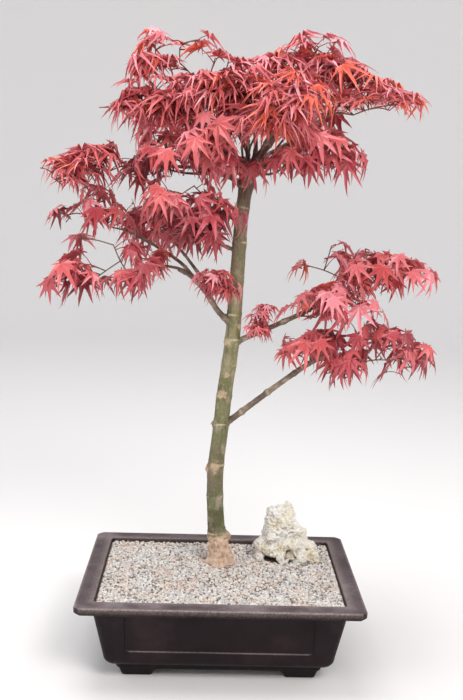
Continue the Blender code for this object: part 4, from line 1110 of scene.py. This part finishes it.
def grow_twigs(mass, start, heading, rng):
    """A stem from the bough's tip, and shoots that each leave the nearest twig point."""
    centre, half = mass[:2]
    root = BOUGHS[mass.name].tip
    hub = start.lerp(Vector(centre), HUB_REACH)
    hub.z -= HUB_SINK * half[2]
    bend = start + heading * (hub - start).length * 0.5
    stem = [start, start + heading * 3.0, bend.lerp(start.lerp(hub, 0.5), 0.5), hub]
    twigs = [[stem, [root * 0.92, root * 0.9, root * 0.72, root * 0.56]]]
    joints = [(stem[2], root * 0.6), (hub, root * 0.5)]
    buds = [(hub, (hub - start).normalized(), SIDE_TURNS[:1])]
    targets = sorted(shoot_targets(mass, rng), key=lambda p: (p - hub).length)
    targets += [Vector(p) for p in SPRAYS.get(mass.name, [])]
    for target in targets:
        joint, thick = min(joints, key=lambda j: (j[0] - target).length)
        way = target - joint
        if way.length < SHOOT_LEAST:
            continue
        middle = joint + way * 0.5
        sway = Vector((rng.uniform(-1, 1), rng.uniform(-1, 1), rng.uniform(0.2, 1)))
        middle += sway * (SHOOT_SWAY * way.length)
        first = max(TWIG_TIP, thick * 0.72)
        second = max(TWIG_TIP, first * 0.74)
        sunk = joint - way.normalized() * 0.45 * thick
        twigs.append([[sunk, middle, target], [first, second, TWIG_TIP]])
        joints += [(middle, second), (target, TWIG_TIP)]
        buds.append((middle, (target - joint).normalized(), SIDE_TURNS))
        buds.append((target - way.normalized() * 1.4, (target - middle).normalized(), END_TURNS))
    return twigs, buds


def trim_twigs(twigs, leaves):
    """Cut back each shoot whose end bears neither a leaf nor another shoot."""
    heels = [points[0] for points, _ in twigs] + [leaf.root for leaf in leaves]
    kept = twigs[:1]
    for points, radii in twigs[1:]:
        tip, middle = points[-1], points[1]
        if min([(p - tip).length for p in heels]) < BARE_TIP:
            kept.append([points, radii])
        elif min([(p - middle).length for p in heels]) < BARE_TIP:
            short = points[0].lerp(middle, 0.5)
            kept.append([[points[0], short, middle], [radii[0], radii[0], radii[1]]])
    return kept


def level_way(heading, rng):
    """A heading's level direction, or any level one where it stands upright."""
    level = Vector((heading.x, heading.y, 0.0))
    if level.length < 0.2:
        level = Vector((rng.uniform(-1, 1), rng.uniform(-1, 1), 0.0))
    return level.normalized()


def grow_fine(mass, twigs, rng):
    """Pairs of fine twigs along each shoot, each with the bud for the leaves at its end."""
    fine, buds = [], []
    share = TIERS[mass.tier].share
    for points, _ in twigs:
        for place in FINE_PLACES:
            spot = line_point(points, blend(place, 1.0, 0.25 * rng.random()))
            level = level_way((Vector(points[-1]) - Vector(points[0])).normalized(), rng)
            for hand in (1, -1):
                turn = radians(hand * rng.uniform(*FINE_TURN))
                way = Matrix.Rotation(turn, 3, "Z") @ level
                way.z = rng.uniform(*FINE_RISE)
                way.normalize()
                long = rng.uniform(*FINE_LENGTH) * mass.scale
                end = spot + way * long
                middle = spot.lerp(end, 0.5) + UP * (FINE_ARCH * long)
                if rng.random() > share or in_sky(end):
                    continue
                if not in_space(mass, end) or not in_space(mass, middle):
                    continue
                fine.append([spot, middle, end])
                turns = END_TURNS if rng.random() < 0.45 else SIDE_TURNS
                buds.append((end, (end - middle).normalized(), turns))
    return fine, buds


# ---------------------------------------------------------------- leaves


def spoke(angle, reach):
    """Place (across, along) on the blade, from its angle off the axis and reach from the heel."""
    return sin(radians(angle)) * reach, cos(radians(angle)) * reach


def both_sides(half):
    """(angle, reach) stations of one half of the blade, with their mirror images before them."""
    return [(-a, r) for a, r in reversed(half)] + half


LOBE_LIST = both_sides(LOBES[1:])[:3] + LOBES
NOTCH_LIST = both_sides([((a + b) / 2, reach) for (a, _), (b, _), reach in zip(LOBES, LOBES[1:], NOTCHES)]
                        + [(168.0, NOTCHES[-1])])


def blade_plan():
    """Flat blade of unit length: its points, its faces, and which points lie on its rim.

    A point is its place on a lobe's midrib and its step off that midrib, both (across, along).
    """
    points, rim = [(0.0, 0.0, 0.0, 0.0)], [False]
    faces = []

    def mark(angle, reach, edge, off=(0.0, 0.0)):
        points.append((*spoke(angle, reach), *off))
        rim.append(edge)
        return len(points) - 1

    notches = []
    for angle, reach in NOTCH_LIST:
        across, along = spoke(angle, reach)
        notches.append(mark(angle, reach * 0.45, True, (across * 0.55, along * 0.55)))
    for i, (angle, reach) in enumerate(LOBE_LIST):
        across = (cos(radians(angle)), -sin(radians(angle)))
        inner = mark(angle, 0.30 * reach + 0.05, False)
        left, right = notches[i], notches[i + 1]
        faces += [(0, inner, left), (0, right, inner)]
        for s, width in LOBE_STATIONS:
            wide = width * (0.35 + 0.65 * reach)
            ends = [mark(angle, s * reach, True, (sign * across[0] * wide, sign * across[1] * wide))
                    for sign in (-1, 1)]
            middle = mark(angle, s * reach, False)
            faces += [(left, inner, middle, ends[0]), (inner, right, ends[1], middle)]
            inner, (left, right) = middle, ends
        tip = mark(angle, reach, True)
        faces += [(left, inner, tip), (inner, right, tip)]
    return points, faces, rim


def blade_solid():
    """The blade as a thin closed lens: its upper skin, its lower skin and their shared rim."""
    points, faces, rim = blade_plan()
    twin = {}
    plan = [(*point, 0.0 if edge else 0.5) for point, edge in zip(points, rim)]
    for i, edge in enumerate(rim):
        if not edge:
            twin[i] = len(plan)
            plan.append((*points[i], -0.5))
    return plan, faces + [tuple(twin.get(i, i) for i in reversed(face)) for face in faces]


def new_leaf(root, way, tier, scale, rng):
    """One leaf on its stalk: its heel, axis, side and normal, and how its blade bends."""
    rise = radians(rng.uniform(*LEAF_RISE))
    tilt = radians(rng.uniform(*tier.tilt))
    roll = radians(rng.uniform(*LEAF_ROLL))
    length = scale * LEAF_LENGTH * (1.0 + rng.uniform(-LEAF_SPREAD, LEAF_SPREAD))
    stalk = scale * rng.uniform(*STALK)
    side = way.cross(UP).normalized()
    flat = UP.cross(side).normalized()
    along = flat * cos(rise) + UP * sin(rise)
    turn = Matrix.Rotation(roll, 3, along)
    side = turn @ side
    axis = turn @ (flat * cos(tilt) - UP * sin(tilt))
    return SimpleNamespace(
        root=root, heel=root + along * stalk, axis=axis, side=side, normal=side.cross(axis).normalized(),
        along=along, length=length, droop=rng.uniform(*tier.droop), curl=rng.uniform(*LEAF_CURL),
        twist=rng.uniform(*LEAF_TWIST), fold=radians(rng.uniform(*tier.fold)), slim=tier.slim)


def leaf_place(leaf, x, y, lift):
    """Place of a blade point, bent down towards its tips."""
    r = hypot(x, y)
    bend = leaf.droop * r * r + leaf.curl * r ** 4
    bend += leaf.twist * x * y
    return (leaf.heel + leaf.side * (x * leaf.length) + leaf.axis * (y * leaf.length)
            + leaf.normal * ((lift - bend) * leaf.length))


def leaf_fits(mass, leaf, taken, limbs):
    """The leaf stays in the crown's reach, out of the sky, clear of limbs and of other leaves."""
    heel = leaf.heel
    tips = [leaf_place(leaf, *spoke(angle, reach), 0.0) for angle, reach in LOBE_LIST]
    if not all(in_reach(mass, p) for p in tips + [heel]):
        return False
    leaf.middle = leaf_place(leaf, 0.0, 0.45, 0.0)
    if in_sky(leaf.middle) or any(in_sky(heel.lerp(p, 0.82)) for p in tips):
        return False
    apart = TIERS[mass.tier].apart * mass.scale
    for spot, normal in taken:
        if (spot - leaf.middle).length < apart * (0.55 + 0.45 * abs(normal.dot(leaf.normal))):
            return False
    ways = [p - heel for p in tips[1:-1]]
    return all(limbs.ray_cast(heel, way.normalized(), way.length)[0] is None for way in ways)


def cover(mass):
    """How much of a mass lies close under others, from 0 to 1, which deepens its tints as painted shade.
    """
    x, y, z = mass.centre
    total = 0.0
    for other in MASSES:
        if SHADE_TALL[0] < other.centre[2] - z < SHADE_TALL[1]:
            total += max(0.0, 1.0 - hypot(other.centre[0] - x, other.centre[1] - y) / SHADE_WIDE)
    return min(total, 1.0)


def pick_tint(mass, spot, mood, rng):
    """Tint by spray, with painted light and shade: paler towards the top and outside, deeper within,
    below and under other masses.
    """
    centre, half = mass[:2]
    high = (spot.z - centre[2]) / half[2]
    out = hypot((spot.x - centre[0]) / half[0], (spot.y - centre[1]) / half[1])
    shown = 0.50 + 0.20 * high + 0.16 * (out - 0.5)
    shown += SHADE * (0.5 - cover(mass)) + LIT_HIGH * max(0.0, centre[2] / REACH_HIGH.z - LIT_FROM)
    order = list(TINTS)[:-1]
    place = clamp(shown + mood + rng.gauss(0.0, TINT_SPREAD)) * (len(order) - 1)
    # The odd orange leaf, only where lit: part the leaf's own colour, part painted glow of light through
    # it.
    if rng.random() < TIERS[mass.tier].orange and shown > 0.45:
        return "orange"
    return order[round(place)]


def grow_leaves(mass, buds, taken, limbs, rng):
    """Leaves round each bud, tried until one fits."""
    leaves = []
    scale, tier = mass.scale, TIERS[mass.tier]
    for spot, heading, turns in buds:
        level = level_way(heading, rng)
        mood = rng.gauss(0.0, MOOD)
        for order, turn in enumerate(turns):
            root = spot - heading * (LEAF_STEP * order)
            for attempt in range(LEAF_TRIES):
                slack = LEAF_SLACK[0] + LEAF_SLACK[1] * attempt
                a = radians(turn + rng.uniform(-slack, slack))
                leaf = new_leaf(root, Matrix.Rotation(a, 3, "Z") @ level, tier, scale, rng)
                if leaf_fits(mass, leaf, taken, limbs):
                    leaf.tint = pick_tint(mass, leaf.middle, mood, rng)
                    leaf.seed = rng.random() * 100
                    taken.append((leaf.middle, leaf.normal))
                    leaves.append(leaf)
                    break
    return leaves


def add_blade(soup, plan, faces, leaf):
    """Put one leaf's blade into the soup of its tint, each lobe a little its own."""
    points = []
    flat, raised = cos(leaf.fold) * leaf.slim, sin(leaf.fold)
    for x, y, off_x, off_y, skin in plan:
        wave = noise.noise(Vector((x * 2.2, y * 2.2, leaf.seed)))
        stretch = 1.0 + BLADE_STRETCH * wave
        lift = raised * hypot(off_x, off_y) + BLADE_WAVE * wave * hypot(x, y)
        p = leaf_place(leaf, x * stretch + off_x * flat, y * stretch + off_y * flat, lift)
        points.append(p + leaf.normal * (skin * LEAF_THICK))
    soup.add(points, faces)


def add_stalk(soup, leaf):
    """Thin arched stalk from the twig to the blade."""
    middle = leaf.root.lerp(leaf.heel, 0.5) + UP * ((leaf.heel - leaf.root).length * STALK_ARCH)
    tube(soup, [leaf.root - leaf.along * 0.8, middle, leaf.heel],
         [STALK_HALF * 1.3, STALK_HALF, STALK_HALF * 0.85], 4)


def grow_mass(number, mass, taken, limbs):
    """Twigs, fine twigs and leaves of one mass."""
    line = bough_line(mass.name)
    heading = (line[-1] - line[-2]).normalized()
    twigs, buds = grow_twigs(mass, line[-1] + heading * 0.3, heading, random.Random(SEED + number))
    twigs[0][0][0] = line[-1] - heading
    rng = random.Random(FINE_SEED + number)
    fine, more = grow_fine(mass, twigs, rng)
    leaves = grow_leaves(mass, buds, taken, limbs, rng)
    kept = []
    for twig, bud in zip(fine, more):
        born = grow_leaves(mass, [bud], taken, limbs, rng)
        if born:
            kept.append(twig)
        leaves += born
    return trim_twigs(twigs, leaves), kept, leaves


def grow_fork(soup):
    """Thin branches that cross each other between the fork and the underside of the dome."""
    rng = random.Random(FINE_SEED)
    x, y, z = TRUNK_LINE[-1]
    for k in range(FORK_TWIGS):
        a = radians(blend(-FORK_SPREAD, FORK_SPREAD, k / (FORK_TWIGS - 1)) + rng.uniform(-9, 9))
        start = Vector((x + 5.0 * sin(a), y + rng.uniform(-5, 5), z + rng.uniform(-12, 6)))
        way = Vector((sin(a), rng.uniform(-0.7, 0.5), cos(a))) * rng.uniform(*FORK_REACH)
        side = Vector((rng.uniform(-7, 7), rng.uniform(-7, 7), -0.10 * abs(way.x)))
        line = [start, start + way * 0.35 + side, start + way * 0.7 - side * 0.3, start + way]
        tube(soup, line_points(line, 9), [blend(*FORK_RADIUS, i / 8) for i in range(9)], 6)


def build_crown():
    """Twigs, fine twigs, stalks and leaves of every mass, joined by kind and tint."""
    limbs = node_tree("trunk", *["bough_" + name for name in BOUGHS])
    twig_soup, fine_soup, stalk_soup = Soup(), Soup(), Soup()
    tint_soups = {name: Soup() for name in TINTS}
    plan, faces = blade_solid()
    taken = []
    fine_middle = blend(FINE_RADIUS, FINE_TIP, 0.5)
    fine_radii = [FINE_RADIUS, FINE_RADIUS, fine_middle, fine_middle, FINE_TIP]
    grow_fork(twig_soup)
    for number, mass in enumerate(MASSES):
        twigs, fine, leaves = grow_mass(number, mass, taken, limbs)
        for points in fine:
            tube(fine_soup, line_points(points, 5), fine_radii, 5)
        for points, radii in twigs:
            count = 4 * len(points) - 3
            places = np.linspace(0, 1, len(radii))
            rows = [TWIG_SLIM * float(np.interp(k / (count - 1), places, radii)) for k in range(count)]
            tube(twig_soup, line_points(points, count), rows, 7)
        for leaf in leaves:
            add_blade(tint_soups[leaf.tint], plan, faces, leaf)
            add_stalk(stalk_soup, leaf)
    masses = ["foliage_" + mass.name for mass in MASSES]
    for name, soup, look, rgb, slot in (
            ("twigs_old", twig_soup, "twig_old", (112, 90, 74), "bough_bark"),
            ("twigs_fine", fine_soup, "twig_fine", (130, 66, 58), "bough_bark"),
            ("leaf_stalks", stalk_soup, "leaf_stalk", (158, 48, 52), "leaf_red")):
        piece(name, soup, grain_finish(look, rgb, "twig"), slot, masses)
    for name, soup in tint_soups.items():
        if soup.points:
            finish = grain_finish("leaf_" + name, TINTS[name], "leaf", **LEAF_GLOSS)
            piece("leaves_" + name, soup, finish, "leaf_red", masses, 30.0)


# ---------------------------------------------------------------- stage, light and camera


def build_stage():
    """Pale round floor that curves up into a plain wall on every side."""
    rings = [(STAGE_FLAT + STAGE_BEND * sin(t), STAGE_BEND * (1.0 - cos(t)))
             for t in [radians(90 * k / 16) for k in range(17)]]
    rings.append((STAGE_FLAT + STAGE_BEND, STAGE_TALL))
    turns = [2 * pi * k / STAGE_SIDES for k in range(STAGE_SIDES)]
    soup = Soup()
    soup.loft([[(r * cos(a), r * sin(a), z) for a in turns] for r, z in rings], closed=False)
    finish = Finish("floor_look", (242, 240, 238), 0.9).material
    floor = mesh_object("floor", soup.points, soup.faces, finish, 180.0)


def build_light():
    """Soft lamps and an even sky."""
    for name, (place, aim, size, power, colour) in LAMPS.items():
        data = bpy.data.lights.new(name, "AREA")
        data.shape = "RECTANGLE"
        data.size = data.size_y = size
        data.energy = power
        data.color = colour
        lamp = link_object(name, data)
        lamp.location = place
        lamp.rotation_euler = (Vector(aim) - Vector(place)).to_track_quat("-Z", "Y").to_euler()
    world = bpy.data.worlds.new("studio")
    bpy.context.scene.world = world
    world.use_nodes = True
    sky = world.node_tree.nodes["Background"].inputs
    sky["Color"].default_value, sky["Strength"].default_value = SKY_LIGHT


def build_camera():
    """Camera at the photograph's place and angle."""
    data = bpy.data.cameras.new("camera")
    data.sensor_fit = "VERTICAL"
    data.sensor_height = data.sensor_width = SENSOR
    data.lens = CAMERA_FOCAL / FRAME_HEIGHT * SENSOR
    data.clip_start, data.clip_end = CAMERA_CLIP
    camera = link_object("camera", data)
    pitch, yaw, roll = CAMERA_TURNS
    ahead = Vector((sin(yaw) * cos(pitch), cos(yaw) * cos(pitch), -sin(pitch)))
    right = Vector((cos(yaw), -sin(yaw), 0.0))
    up = right.cross(ahead)
    right, up = right * cos(roll) + up * sin(roll), up * cos(roll) - right * sin(roll)
    place = CAMERA_PLACE * MM + ORIGIN
    camera.matrix_world = Matrix(((*right, 0), (*up, 0), (*-ahead, 0), (*place, 1))).transposed()
    bpy.context.scene.camera = camera


bpy.context.scene.view_settings.view_transform = "Standard"
build_camera()
build_stage()
build_light()
build_pot()
build_grit_bed()
build_pebbles()
build_rock()
build_trunk()
bark = bough_finish()
for number, name in enumerate(BOUGHS):
    build_bough(number, name, bark)
build_crown()
